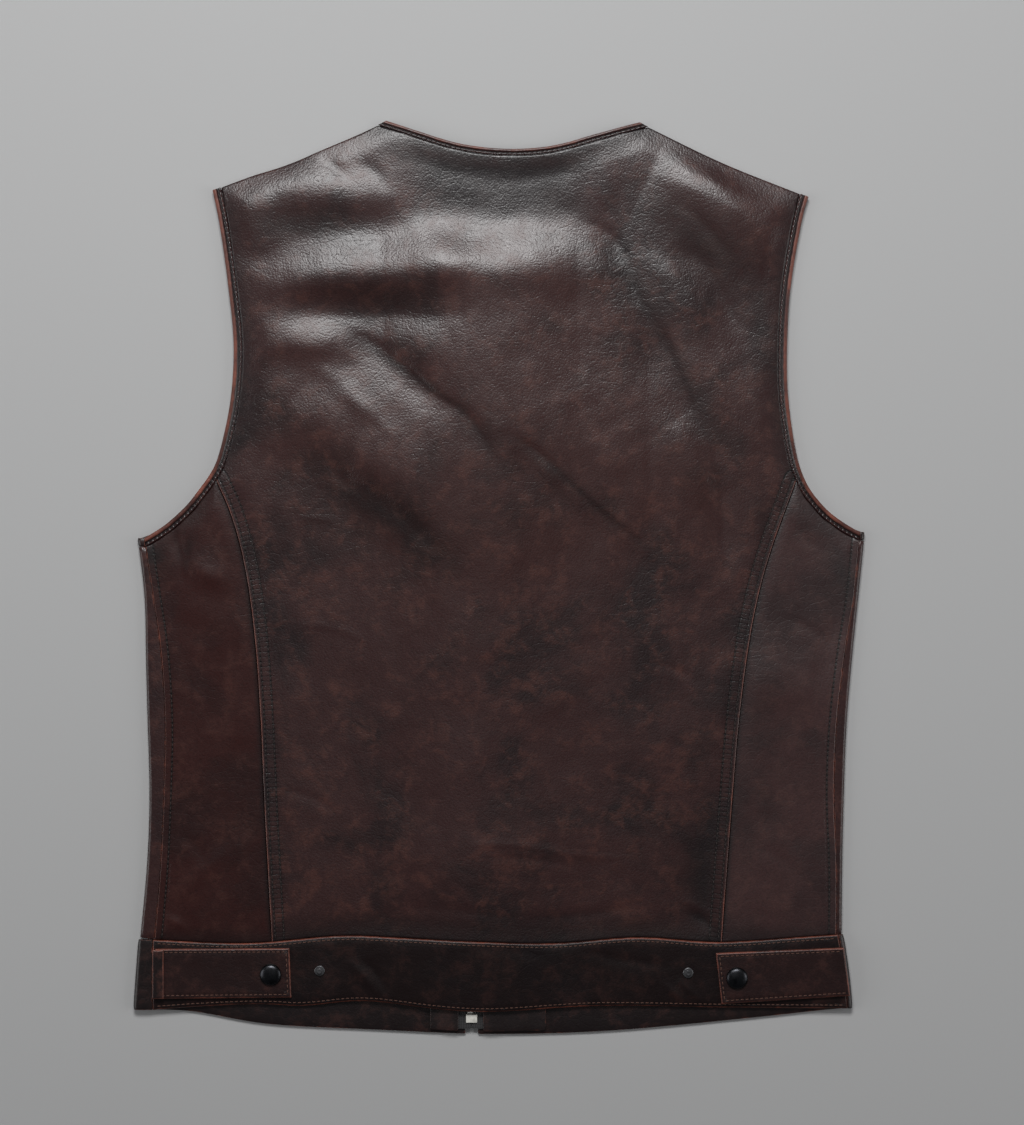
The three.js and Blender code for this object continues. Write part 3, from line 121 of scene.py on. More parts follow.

# Folds, in millimetres: both ends, how far the middle bows to the left of the way along,
# the spread to the left and to the right of that way, and the height. Ridges are positive and
# troughs negative.

FOLD_COLUMNS = ("x0", "y0", "x1", "y1", "bow", "left", "right", "height")
FOLDS = [
    # Broad swells and hollows
    (-200, 256, -84, 262, 2, 17, 36, 3.0),
    (-200, 224, -124, 226, 0, 16, 12, -1.3),
    (-152, 204, -60, 206, 3, 17, 12, 2.2),
    (-84, 208, 58, 210, 2, 28, 100, 5.0),
    (-136, 184, -34, 184, 0, 10, 12, -1.4),
    (-172, 161, -112, 160, 2, 14, 9, 1.5),
    (-110, 76, 110, 80, 14, 88, 90, 7.4),
    (-148, 126, -48, 34, 4, 42, 32, 3.6),
    (6, 102, 102, 22, -2, 46, 7, 1.9),
    (-72, 304, 80, 304, -18, 9, 14, -1.9),
    (-80, 262, 96, 258, -3, 34, 20, -2.2),
    (104, 284, 200, 238, 3, 20, 46, 6.0),
    (88, 236, 150, 208, 2, 26, 30, -1.3),
    (150, 208, 188, 148, 3, 26, 24, -1.3),
    (76, 214, 122, 172, -2, 26, 16, 1.3),
    (122, 172, 160, 104, 3, 24, 16, 1.4),
    (112, 104, 152, 52, 3, 30, 20, 1.8),
    (-150, -258, 150, -256, 3, 15, 6, -1.8),
    (152, -160, 146, -250, 0, 8, 16, -1.4),
    (-140, -60, 130, -70, 10, 60, 60, 0.9),
    (-120, -190, 90, -196, 6, 30, 30, 0.7),
    # Creases
    (-126, 298, -108, 283, 0, 4, 5, -1.2),
    (-97, 292, -80, 276, 2, 5, 6, -0.7),
    (-104, 172, -62, 146, 3, 3, 18, -0.8),
    (-62, 146, -27, 118, -3, 3, 20, -1.3),
    (-27, 118, -4, 84, 2, 4, 14, -0.9),
    (-136, 150, -96, 118, 5, 7, 6, 0.6),
    (-118, 132, -74, 100, 3, 6, 6, 0.5),
    (6, 101, 48, 68, 3, 2.5, 5, -0.8),
    (48, 68, 98, 26, -2, 2.5, 5, -0.9),
    (78, 240, 92, 222, 0, 4, 14, -1.1),
    (90, 222, 101, 190, -2, 4, 14, -1.1),
    (103, 188, 122, 150, 2, 5, 14, -0.8),
    (122, 150, 142, 106, -2, 5, 14, -0.9),
    (60, 250, 84, 236, 2, 4, 4, -0.5),
    (113, 222, 137, 192, 2, 9, 8, 0.5),
    (132, 231, 153, 203, 3, 6, 6, -0.9),
    (150, 216, 178, 176, 3, 8, 8, 0.4),
    (153, 203, 166, 178, 0, 5, 5, -0.8),
    (128, 262, 170, 214, 3, 6, 6, -0.7),
    (148, 284, 186, 240, -3, 7, 6, 0.3),
    (150, 86, 160, 4, 2, 7, 7, -1.0),
    (118, 110, 146, 60, 4, 9, 9, 0.9),
    (-30, 202, -31, 168, 0, 2, 2, 0.35),
    (-139, -33, -96, -43, 3, 2.2, 2.2, 0.35),
    (-139, 42, -116, 40, 1, 2.2, 2.2, 0.4),
    (-120, 84, -92, 60, -4, 4, 5, -0.8),
    (-92, 60, -46, 22, 3, 5, 6, -0.9),
    (-17, -187, 40, -192, 2, 2, 2, 0.4),
    (30, -190, 86, -196, -2, 2, 2, 0.35),
    (-6, -197, 52, -203, 2, 2.4, 2.4, -0.35),
    (134, -236, 156, -250, 1, 3, 3, -0.7),
    (128, -226, 150, -238, 1, 3, 3, 0.5),
    (-60, -232, 10, -240, 2, 4, 4, -0.4),
    (20, -238, 92, -231, -3, 4, 4, -0.5),
    (-150, -150, -118, -162, 2, 3, 3, -0.4),
    (110, -60, 140, -74, 2, 3, 3, -0.4),
    # Side panels
    (-232, 42, -222, 2, 2, 5, 6, -1.4),
    (-216, 8, -194, -2, -1, 9, 7, 1.5),
    (-228, -18, -190, -34, 2, 14, 12, 0.9),
    (-235, -239, -222, -246, 1, 3, 3, 0.8),
    (-222, -222, -178, -186, 4, 6, 6, 0.6),
    (-226, -180, -206, -200, 3, 4, 4, -0.5),
    (-190, -60, -182, -110, 2, 5, 5, 0.4),
    (196, 52, 244, -50, 4, 12, 12, -0.8),
    (172, -72, 222, -80, 4, 18, 24, 1.1),
    (200, -28, 230, -44, 2, 4, 4, -0.5),
    (205, 44, 226, 20, -3, 5, 5, -0.5),
    (184, -190, 214, -214, 3, 5, 5, -0.4),
]
TROUGH_LIMIT = 2.4 * MM

# Painted shade: patches darkened where the leather lies in shade, in creases and on slopes turned away
# from the key light, in the same columns: its height is the share of the dark colour

PAINTED_SHADE_ROWS = [
    (100, 268, 184, 200, 2, 24, 26, 0.62),
    (184, 200, 190, 130, 0, 20, 12, 0.4),
    (-176, 250, -100, 246, 0, 12, 14, 0.7),
    (-134, 190, -40, 190, 0, 13, 13, 0.5),
    (-122, 68, -34, 12, 3, 13, 12, 0.6),
    (140, -186, 146, -240, 0, 12, 16, 0.7),
    (-104, 172, -27, 119, 0, 2.5, 4.5, 0.75),
    (-27, 119, -4, 84, 1, 2.5, 4, 0.55),
    (8, 101, 98, 26, 1, 2, 4, 0.6),
    (86, 234, 104, 188, -2, 5, 7, 0.7),
    (104, 188, 146, 106, 2, 6, 7, 0.6),
    (-252, 24, -236, 10, 0, 12, 12, 0.9),
    (236, 22, 250, -24, 0, 10, 10, 0.7),
    (-216, 34, -220, 8, 0, 4, 4, 0.6),
    (180, 60, 190, 20, 0, 8, 8, 0.35),
]
LUMPS = [
    {"size": 46 * MM, "height": 0.7 * MM},
    {"size": 17 * MM, "height": 0.2 * MM},
    {"size": 7 * MM, "height": 0.06 * MM},
]

# Folds of the waistband

BAND_FOLDS = [
    (-103, -272, -88, -290, 1, 4, 3, 0.8),
    (-94, -270, -80, -288, 1, 3, 3, -0.7),
    (60, -262, 118, -272, -2, 4, 4, -0.5),
    (116, -285, 128, -296, 0, 2.5, 2.5, 0.6),
    (128, -284, 141, -296, 0, 2.5, 2.5, 0.6),
    (-20, -258, 30, -266, 2, 4, 4, -0.4),
    (188, -268, 226, -276, 1, 4, 4, -0.3),
]

# How each panel lies: its folds and their margin, the seed, margin and share of its lumps, and the
# rounding of its edges, in millimetres

LAY_COLUMNS = ("folds", "fold_margin", "seed", "lump_margin", "lump_share", "rounding")
LAYS = {
    "back_centre": (FOLDS, 18, 3.7, 16, 1.0, 0.9),
    "back_side_left": (FOLDS, 10, 9.1, 12, 0.8, 0.9),
    "back_side_right": (FOLDS, 10, 14.6, 12, 0.8, 0.9),
    "waistband_back": (BAND_FOLDS, 6, 21.3, 8, 0.6, 1.2),
    "tab_left": ((), 6, 31.0, 6, 0.4, 1.2),
    "tab_right": ((), 6, 37.0, 6, 0.4, 1.2),
    "tab_root_strip_left": ((), 6, 0.0, 6, 0.0, 0.8),
}

# Borders where leather falls away: the drop and its reach in millimetres, and the share of painted shade
# along them, as under the bindings and beside the seams

SIDE_ROLLS = {"hem": (0.2, 12, 0.7), "armhole": (0.2, 14, 0.5)}
ROLLS = {
    "back_centre": {
        "shoulder_left": (1.1, 18, 0.0), "shoulder_right": (1.1, 18, 0.0),
        "armhole_left": (0.3, 12, 0.6), "armhole_right": (0.3, 12, 0.6),
        "neck": (0.5, 20, 0.95), "hem": (0.5, 18, 0.9),
    },
    "back_side_left": {**SIDE_ROLLS, "right": (0.2, 3.5, 0.95)},
    "back_side_right": {**SIDE_ROLLS, "left": (0.2, 3.5, 0.95)},
}

# Edges that are rubbed: how much at most, and how far in

SEAM_WEAR = {"most": 0.95, "width": 0.9 * MM}
SIDE_WEAR = {"most": 0.75, "width": 0.8 * MM, "strip": 0.3}
BAND_WEAR = 1.0 * MM
STRIP_WEAR = 0.8 * MM

# Bindings: a section from the outer edge (0) to the inner (1), with heights from 0 to 1

BINDING_SECTION = [
    (0.0, 0.45), (0.02, 0.68), (0.09, 0.88), (0.2, 0.98), (0.33, 1.0), (0.45, 0.93), (0.53, 0.76),
    (0.6, 0.62), (0.66, 0.6), (0.72, 0.68), (0.8, 0.78), (0.9, 0.76), (0.97, 0.62), (1.0, 0.36),
    (0.97, 0.16), (0.85, 0.02), (0.5, 0.0), (0.15, 0.02), (0.03, 0.18),
]
BINDING_GROOVE_AT = 0.64
BINDING_HEIGHT = {"armhole": 2.9 * MM, "neck": 2.6 * MM}
BINDING_RUBBED = {"armhole": 1.05, "neck": 0.8}
BINDING_STEP = 0.85 * MM
BINDING_CUT = 12 * MM
PINCH_DEPTH = 0.22 * MM
WOBBLE = {"height": 0.07 * MM, "length": 9 * MM}
JOINT = {"depth": 0.35 * MM, "width": 0.45 * MM, "slant": 5 * MM}

# Noises of the leather: scale, detail, roughness and distortion

BROAD_NOISE = (15, 5, 0.6, 0.4)
PATCHY_NOISE = (75, 6, 0.68, 0.3)
FINE_NOISE = (260, 5, 0.6)
SPOT_NOISE = (24, 3, 0.6)
PEBBLE_DRIFT = {"scale": 420.0, "reach": 1.1 * MM}
WRINKLE = {"scale": 125.0, "stretch": (1.0, 1.45, 1.0)}

# Patches of another colour: random ones, ridges rubbed lighter with a painted highlight, and painted shade
# in troughs; the values between which they come up, and their share

PATCHES = {
    "shade": (0.44, 0.66, 0.7),
    "blush": (0.47, 0.7, 0.6),
    "ridge_wear_and_highlight": (0.5, 4.0, 0.12),
    "trough_painted_shade": (0.1, 1.5, 0.85),
}

# Relief of the leather in millimetres, and how far from a stitched row its line of painted shade fades

RELIEF = {"fine": 0.05, "patchy": 0.15, "creases": 0.05, "gathers": 0.08, "row": 0.06}
ROW_LINE = (0.25 * MM, 1.1 * MM)

# Finishes: the colour and its strength, the shares of blush, shade, grain and worn edge, and gloss

FINISH_COLUMNS = ("colour", "strength", "blush", "shade", "grain", "edge", "roughness", "specular")
FINISHES = {
    "back": ("back", 1.0, 1.0, 1.0, 1.0, 1.0, 0.34, 0.46),
    "side_left": ("side", 1.0, 0.6, 0.6, 0.6, 1.0, 0.4, 0.26),
    "side_right": ("back", 1.15, 0.5, 0.7, 0.6, 1.0, 0.4, 0.5),
    "front": ("back", 1.0, 1.0, 0.6, 0.9, 1.0, 0.34, 0.46),
    "facing": ("band", 1.0, 0.5, 0.5, 0.6, 0.6, 0.42, 0.46),
    "band": ("band", 1.0, 0.3, 0.8, 0.6, 1.0, 0.36, 0.28),
    "band_front": ("band", 1.0, 0.5, 0.6, 0.6, 1.0, 0.37, 0.46),
    "tab": ("back", 0.5, 0.5, 0.5, 0.6, 1.0, 0.36, 0.36),
    "tab_strip": ("band", 1.0, 1.4, 0.3, 0.6, 1.0, 0.36, 0.46),
    "binding_back": ("back", 1.0, 1.2, 0.5, 0.4, 1.0, 0.32, 0.46),
    "binding_front": ("band", 1.0, 0.9, 0.6, 0.5, 1.0, 0.36, 0.46),
}


def colour(name, description, default):
    return FloatVectorProperty(
        name=name, description=description, subtype="COLOR", min=0, max=1, default=default
    )


def measure(name, description, unit, low, high, default):
    return FloatProperty(name=name, description=description, unit=unit, min=low, max=high, default=default)


class VestLeather(bpy.types.PropertyGroup):
    """Colours and grain of the leather."""

    back: colour("Back", "Main colour of the back panel", (0.031, 0.012, 0.0114))
    side: colour("Sides", "Main colour of the side panels", (0.0285, 0.0078, 0.0068))
    band: colour("Waistband", "Main colour of the waistband and its tabs", (0.0075, 0.0036, 0.0036))
    shade: colour("Shade", "Blue-black of the darkest patches", (0.0066, 0.0048, 0.0054))
    blush: colour("Blush", "Red-brown of the lighter patches", (0.066, 0.0225, 0.0165))
    worn: colour("Worn edge", "Colour of the leather where its edges are rubbed", (0.17, 0.046, 0.027))
    grain_size: measure(
        "Grain", "Width of one pebble of the grain", "LENGTH", 0.5 * MM, 5 * MM, 1.15 * MM
    )
    grain_depth: measure(
        "Grain depth", "Depth of the lines between the pebbles", "LENGTH", 0, 0.8 * MM, 0.13 * MM
    )


class VestStitching(bpy.types.PropertyGroup):
    """Thread and stitches."""

    pitch: measure(
        "Pitch", "Distance from one stitch to the next", "LENGTH", 2 * MM, 6 * MM, 3.4 * MM
    )
    length: measure(
        "Length", "Length of the thread that shows in one stitch", "LENGTH", 1 * MM, 5 * MM, 2.5 * MM
    )
    thickness: measure("Thickness", "Thickness of the thread", "LENGTH", 0.2 * MM, 1.2 * MM, 0.6 * MM)
    dark: colour("Dark thread", "Thread of the seams and bindings", (0.022, 0.011, 0.009))
    tan: colour("Tan thread", "Thread of the waistband and tabs", (0.11, 0.046, 0.028))


class VestMetal(bpy.types.PropertyGroup):
    """Snaps and zip."""

    snap: colour("Snaps", "Gunmetal of the snaps", (0.035, 0.036, 0.04))
    stud: colour("Studs", "Bare metal of the free studs", (0.1, 0.1, 0.105))
    zip: colour("Zip", "Pale metal of the zip", (0.78, 0.76, 0.7))
    tape: colour("Tape", "Woven tape of the zip", (0.014, 0.013, 0.014))


class VestStage(bpy.types.PropertyGroup):
    """Camera, floor and lights."""

    lens: measure("Lens", "Focal length of the camera", "CAMERA", 20, 300, 80)
    height: measure("Height", "Height of the camera above the back of the vest", "LENGTH", 0.5, 6, 1.75)
    floor: colour("Floor", "Colour of the plain floor", (0.36, 0.36, 0.36))
    key: measure("Key light", "Power of the soft light past the neck", "POWER", 0, 500, 36)
    sheen: measure("Sheen light", "Power of the weak light straight above", "POWER", 0, 100, 0.6)
    fill: measure("Fill light", "Power of each soft light at the sides", "POWER", 0, 500, 12)


# Lines in plan


def length_of(line):
    return float(np.linalg.norm(np.diff(line, axis=0), axis=1).sum())


def running(line):
    """How far along a line each of its points is."""
    return np.concatenate([[0], np.cumsum(np.linalg.norm(np.diff(line, axis=0), axis=1))])


def along(line, distances):
    """Points of a line at distances from its start."""
    run = running(line)
    return np.stack([np.interp(distances, run, line[:, k]) for k in range(line.shape[1])], axis=1)


def evenly(line, step):
    """A line again, with its points about one step apart."""
    total = length_of(line)
    return along(line, np.linspace(0, total, max(2, round(total / step) + 1)))


def curved(points, per_span=12):
    """A smooth line through points, by Catmull and Rom's rule."""
    ends = [2 * points[:1] - points[1:2], points, 2 * points[-1:] - points[-2:-1]]
    p = np.vstack(ends)
    t = np.linspace(0, 1, per_span, endpoint=False)[:, None]
    spans = [
        0.5 * (2 * b + (c - a) * t + (2 * a - 5 * b + 4 * c - d) * t**2 + (3 * b - a - 3 * c + d) * t**3)
        for a, b, c, d in zip(p, p[1:], p[2:], p[3:])
    ]
    return np.vstack([*spans, points[-1:]])


def offset(line, distance):
    """A line moved sideways in plan, to its left where the distance is positive."""
    way = np.gradient(line[:, :2], axis=0)
    way /= np.maximum(np.linalg.norm(way, axis=1, keepdims=True), 1e-12)
    moved = line.copy()
    moved[:, 0] -= way[:, 1] * distance
    moved[:, 1] += way[:, 0] * distance
    return moved


def smooth(values, low, high):
    """A soft step from 0 at the low value to 1 at the high one."""
    t = np.clip((values - low) / (high - low), 0, 1)
    return t * t * (3 - 2 * t)


def tree_of_points(points):
    tree = KDTree(len(points))
    for i, place in enumerate(points):
        tree.insert(place, i)
    tree.balance()
    return tree


def in_plan(points):
    return np.column_stack([points[:, :2], np.zeros(len(points))])


def nearest(points, line):
    """How far each point is from a line in plan, and how far along it that is."""
    fine = evenly(line, LINE_STEP)
    tree = tree_of_points(in_plan(fine))
    found = [tree.find(place) for place in in_plan(points)]
    step = length_of(fine) / (len(fine) - 1)
    return np.array([f[2] for f in found]), np.array([f[1] for f in found]) * step


# Reading the frame's solids


def welded(node):
    """A CAD node's mesh with its split points joined."""
    bm = bmesh.new()
    bm.from_mesh(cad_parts[node].data)
    bmesh.ops.remove_doubles(bm, verts=bm.verts, dist=WELD)
    bm.normal_update()
    return bm


def upper_faces(node):
    bm = welded(node)
    bmesh.ops.delete(bm, geom=[f for f in bm.faces if f.normal.z < LEAST_UP], context="FACES")
    return bm


def outline(node):
    """The edge of a CAD node's upper face, counter-clockwise seen from above."""
    bm = upper_faces(node)
    onward = {}
    for edge in bm.edges:
        if edge.is_boundary:
            loop = edge.link_loops[0]
            onward[loop.vert] = loop.link_loop_next.vert
    first = next(iter(onward))
    walk, vert = [first.co[:]], onward[first]
    while vert is not first:
        walk.append(vert.co[:])
        vert = onward[vert]
    if len(walk) != len(onward):
        raise ValueError(f"the upper face of {node} has more than one outline")
    bm.free()
    return np.array(walk)


@functools.cache
def borders(node, corners):
    """The outline of a CAD node's upper face as smooth lines from corner to corner,
    counter-clockwise from its lower left corner."""
    loop = outline(node)
    closed = np.vstack([loop, loop[:1]])
    run = running(closed)
    total = run[-1]

    def at(distance):
        return np.array([np.interp(distance % total, run, closed[:, k]) for k in range(2)])

    bends = []
    for i, here in enumerate(loop):
        before = here[:2] - at(run[i] - CORNER_REACH)
        after = at(run[i] + CORNER_REACH) - here[:2]
        turn = math.atan2(before[0] * after[1] - before[1] * after[0], float(before @ after))
        bends.append((abs(turn), i))
    picked = []
    for _, i in sorted(bends, reverse=True):
        gaps = [min(abs(run[i] - run[j]), total - abs(run[i] - run[j])) for j in picked]
        if len(picked) < corners and all(gap > CORNER_APART for gap in gaps):
            picked.append(i)
    start = min(picked, key=lambda i: loop[i, 0] + loop[i, 1])
    order = sorted((i - start) % len(loop) for i in picked)
    turned = np.roll(loop, -start, axis=0)
    turned = np.vstack([turned, turned[:1]])
    ends = [*order[1:], len(loop)]
    return [curved(turned[a : b + 1]) for a, b in zip(order, ends)]


@functools.cache
def smooth_top(node):
    """A search tree of a CAD node's upper face with its facets smoothed."""
    bm = upper_faces(node)
    join_quads(bm)
    mesh = bpy.data.meshes.new("smooth_top")
    bm.to_mesh(mesh)
    bm.free()
    smoothed = subdivided(mesh, SMOOTHING_LEVELS)
    places = [v.co for v in smoothed.vertices]
    tree = BVHTree.FromPolygons(places, [p.vertices[:] for p in smoothed.polygons])
    bpy.data.meshes.remove(smoothed)
    return tree


def join_quads(bm):
    bmesh.ops.join_triangles(
        bm, faces=bm.faces, angle_face_threshold=JOIN_ANGLE, angle_shape_threshold=JOIN_SHAPE
    )


def placed(name, data):
    """A new object in the scene."""
    made = bpy.data.objects.new(name, data)
    bpy.context.scene.collection.objects.link(made)
    return made


def subdivided(mesh, levels):
    """A mesh subdivided by Catmull and Clark's rule. The one given is removed."""
    helper = placed("helper", mesh)
    subdivision = helper.modifiers.new("Subdivision", "SUBSURF")
    subdivision.levels = levels
    subdivision.boundary_smooth = "PRESERVE_CORNERS"
    depsgraph = bpy.context.evaluated_depsgraph_get()
    made = bpy.data.meshes.new_from_object(helper.evaluated_get(depsgraph))
    bpy.data.objects.remove(helper)
    bpy.data.meshes.remove(mesh)
    return made


def heights_on(tree, points):
    """Heights of a search tree's surface under or over points of the plan."""
    above = CAD_BOX[1].z + RAY_ABOVE
    found = np.empty(len(points))
    for i, (x, y) in enumerate(points[:, :2]):
        place = tree.ray_cast(Vector((x, y, above)), DOWN)[0]
        if place is None:
            place = tree.find_nearest(Vector((x, y, points[i, 2])))[0]
        found[i] = place.z
    return found


# Grids between borders


def divided(length, count, first, last):
    """Distances along a length: short steps at an end that is an edge, and even ones between."""
    start = EDGE_STEPS if first else EDGE_STEPS[:1]
    end = EDGE_STEPS if last else EDGE_STEPS[:1]
    middle = np.linspace(start[-1], length - end[-1], count + 1)
    return np.concatenate([start[:-1], middle, length - end[:-1][::-1]])


def split_like(line, pattern):
    """A line cut at the same shares of its length as the lines of a pattern."""
    shares = np.cumsum([length_of(part) for part in pattern])
    total = length_of(line)
    ends = [0, *(shares / shares[-1] * total)]
    cuts = []
    for a, b in zip(ends, ends[1:]):
        count = max(2, round((b - a) / LINE_STEP))
        cuts.append(along(line, np.linspace(a, b, count)))
    return cuts


def border_pair(first, second, cell):
    """Points of two facing borders, with as many in each."""
    if len(first) < len(second):
        first = split_like(first[0], second)
    if len(second) < len(first):
        second = split_like(second[0], first)
    counts = [max(1, round((length_of(a) + length_of(b)) / 2 / cell)) for a, b in zip(first, second)]
    made = []
    for lines in (first, second):
        parts = []
        for i, (line, count) in enumerate(zip(lines, counts)):
            at = divided(length_of(line), count, i == 0, i == len(lines) - 1)
            parts.append(along(line, at)[min(i, 1) :])
        made.append(np.vstack(parts))
    return made


def shares_of(line):
    run = running(line)
    return run / run[-1]


def patch(lower, upper, left, right):
    """Grid of points between four borders: rows run from the lower to the upper one."""
    u = ((shares_of(lower) + shares_of(upper)) / 2)[None, :, None]
    v = ((shares_of(left) + shares_of(right)) / 2)[:, None, None]
    ruled = (1 - v) * lower[None] + v * upper[None] + (1 - u) * left[:, None] + u * right[:, None]
    low_corners = (1 - u) * (1 - v) * lower[0] + u * (1 - v) * lower[-1]
    high_corners = (1 - u) * v * upper[0] + u * v * upper[-1]
    return ruled - low_corners - high_corners


class Panel:
    """The upper face of one piece of leather: a grid of points with its edges and attributes."""

    def __init__(self, node, lower, upper, left, right, cell):
        self.node = node
        self.edges = [*lower, *upper, *left, *right]
        lower, upper = border_pair(lower, upper, cell)
        left, right = border_pair(left, right, cell)
        grid = patch(lower, upper, left, right)
        self.shape = grid.shape[:2]
        self.points = grid.reshape(-1, 3)
        self.points[:, 2] = heights_on(smooth_top(node), self.points)
        self.edge = np.min([nearest(self.points, line)[0] for line in self.edges], axis=0)
        self.attributes = {
            name: np.zeros(len(self.points)) for name in ("wear", "lift", "along", "pucker")
        }
        # Painted shade: the dark colour's share from the table, raised later along some borders
        self.attributes["soil"] = fold_heights(self.points, PAINTED_SHADE_ROWS) / MM
        self.attributes["across"] = np.full(len(self.points), FAR_ACROSS)
        lay = dict(zip(LAY_COLUMNS, LAYS[node]))
        self.fold(lay["folds"], lay["fold_margin"] * MM)
        self.lump(lay["seed"], lay["lump_margin"] * MM, lay["lump_share"])
        self.round_edges(lay["rounding"] * MM)

    def raise_by(self, heights):
        self.points[:, 2] += heights

    def round_edges(self, radius):
        inside = np.clip(radius - self.edge, 0, radius)
        self.raise_by(-(radius - np.sqrt(np.maximum(radius**2 - inside**2, 0))))

    def roll(self, lines):
        """Lets the leather fall away towards some of its borders, and paints shade there."""
        for name, (drop, reach, painted_shade_share) in ROLLS[self.node].items():
            near = 1 - np.clip(nearest(self.points, lines[name])[0] / (reach * MM), 0, 1)
            self.raise_by(-drop * MM * near**2)
            # Painted shade along this border
            self.attributes["soil"] = np.maximum(self.attributes["soil"], painted_shade_share * near)

    def fold(self, rows, margin):
        """Adds the listed folds, which die away towards the edges."""
        total = fold_heights(self.points, rows)
        kept = smooth(self.edge, -0.25 * margin, margin) - smooth(0.0, -0.25 * margin, margin)
        self.raise_by(total * kept)
        # The folds' height is kept to colour them: ridges lighter, partly a painted highlight, and painted
        # shade in troughs
        self.attributes["lift"] += total * kept / MM

    def lump(self, seed, margin, share):
        """Adds the uneven lie of soft leather."""
        kept = smooth(self.edge, 0, margin) * share
        for layer in LUMPS:
            values = [
                noise.noise(Vector((x / layer["size"], y / layer["size"], seed)))
                for x, y in self.points[:, :2]
            ]
            self.raise_by(np.array(values) * layer["height"] * kept)

    def wear_edges(self, width):
        worn = np.exp(-((self.edge / width) ** 2))
        self.attributes["wear"] = np.maximum(self.attributes["wear"], worn)

    def sew_seam(self, seam, rows, reach):
        """Grooves along the stitched rows beside a seam, and the puckers across them."""
        away, run = nearest(self.points, seam)
        for row in rows:
            groove = np.exp(-(((away - row) / ROW_GROOVE["width"]) ** 2))
            self.raise_by(-ROW_GROOVE["depth"] * groove)
        self.attributes["across"] = np.minimum(self.attributes["across"], away)
        near = smooth(away, 0.5 * rows[0], 1.2 * rows[0]) * (1 - smooth(away, rows[-1], reach))
        stronger = near > self.attributes["pucker"]
        self.attributes["pucker"] = np.where(stronger, near, self.attributes["pucker"])
        self.attributes["along"] = np.where(stronger, run, self.attributes["along"])

    def sew_edges(self, sewing):
        for line in sewn_edges(self.node):
            self.sew_seam(line, (sewing["row"],), sewing["reach"])

    def build(self, thickness, material, slot, rests_on, turned=0.0):
        grid = self.points.reshape(*self.shape, 3)
        points, faces, source = grid_shell(grid, thickness)
        attributes = {key: values[source] for key, values in self.attributes.items()}
        piece = make_piece(f"{self.node}_leather", points, faces, material, attributes, self.node)
        size = self.points.max(axis=0) - self.points.min(axis=0)
        declare_sheet(size, top_area(grid), turned)


def fold_heights(points, rows):
    """Heights of the listed folds over points of the plan."""
    total = np.zeros(len(points))
    for row in rows:
        f = {column: value * MM for column, value in zip(FOLD_COLUMNS, row)}
        start, end = np.array([f["x0"], f["y0"]]), np.array([f["x1"], f["y1"]])
        way = end - start
        length = np.linalg.norm(way)
        way /= length
        side = np.array([-way[1], way[0]])
        from_start = points[:, :2] - start
        t = from_start @ way / length
        held = np.clip(t, 0, 1)
        across = from_start @ side - f["bow"] * 4 * held * (1 - held)
        spread = np.where(across > 0, f["left"], f["right"])
        ends = (f["left"] + f["right"]) / 2
        away = np.hypot(across / spread, (t - held) * length / ends)
        taper = 0.35 + 0.65 * np.sin(np.pi * np.clip(held, 0.02, 0.98)) ** 0.7
        total += f["height"] * taper * np.exp(-(away**1.7))
    return np.where(total < 0, TROUGH_LIMIT * np.tanh(total / TROUGH_LIMIT), total)


def top_area(grid):
    crossed = np.cross(grid[1:, 1:] - grid[:-1, :-1], grid[1:, :-1] - grid[:-1, 1:])
    return float(np.linalg.norm(crossed, axis=2).sum() / 2)


def grid_shell(grid, thickness):
    """A closed wall under a grid: fine faces above, coarser ones below, and a rim."""
    rows, columns = grid.shape[:2]
    number = np.arange(rows * columns).reshape(rows, columns)
    faces = [
        (a, b, c, d)
        for a, b, c, d in zip(
            number[:-1, :-1].ravel().tolist(), number[:-1, 1:].ravel().tolist(),
            number[1:, 1:].ravel().tolist(), number[1:, :-1].ravel().tolist(),
        )
    ]
    low_rows = sorted({*range(0, rows, UNDERSIDE_STRIDE), rows - 1})
    low_columns = sorted({*range(0, columns, UNDERSIDE_STRIDE), columns - 1})
    places = [(i, j) for i in low_rows for j in low_columns]
    source = [number[place] for place in places]
    low = {place: rows * columns + k for k, place in enumerate(places)}
    for i0, i1 in zip(low_rows, low_rows[1:]):
        for j0, j1 in zip(low_columns, low_columns[1:]):
            faces.append((low[i0, j0], low[i1, j0], low[i1, j1], low[i0, j1]))
    ring = [(0, j) for j in range(columns)]
    ring += [(i, columns - 1) for i in range(1, rows)]
    ring += [(rows - 1, j) for j in range(columns - 2, -1, -1)]
    ring += [(i, 0) for i in range(rows - 2, -1, -1)]
    picks = [k for k, place in enumerate(ring) if place in low]
    for a, b in zip(picks, picks[1:]):
        top = [int(number[place]) for place in ring[a : b + 1]]
        faces.append((*reversed(top), low[ring[a]], low[ring[b]]))
    top_points = grid.reshape(-1, 3)
    under = top_points[source] - (0, 0, thickness)
    return np.vstack([top_points, under]), faces, np.array([*range(len(top_points)), *source])


# Making pieces


def new_mesh(name, points, faces, attributes=None):
    mesh = bpy.data.meshes.new(name)
    mesh.from_pydata(np.asarray(points).tolist(), [], faces)
    mesh.validate()
    for key, values in (attributes or {}).items():
        layer = mesh.attributes.new(key, "FLOAT", "POINT")
        layer.data.foreach_set("value", np.asarray(values, np.float32))
    mesh.shade_smooth()
    mesh.set_sharp_from_angle(angle=SHARP_ANGLE)
    return mesh


def make_piece(name, points, faces, material, attributes=None, replaced=None):
    piece = placed(name, new_mesh(name, points, faces, attributes))
    piece.data.materials.append(material)
    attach(piece, "vest")
    if replaced:
        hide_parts(replaced)
    return piece


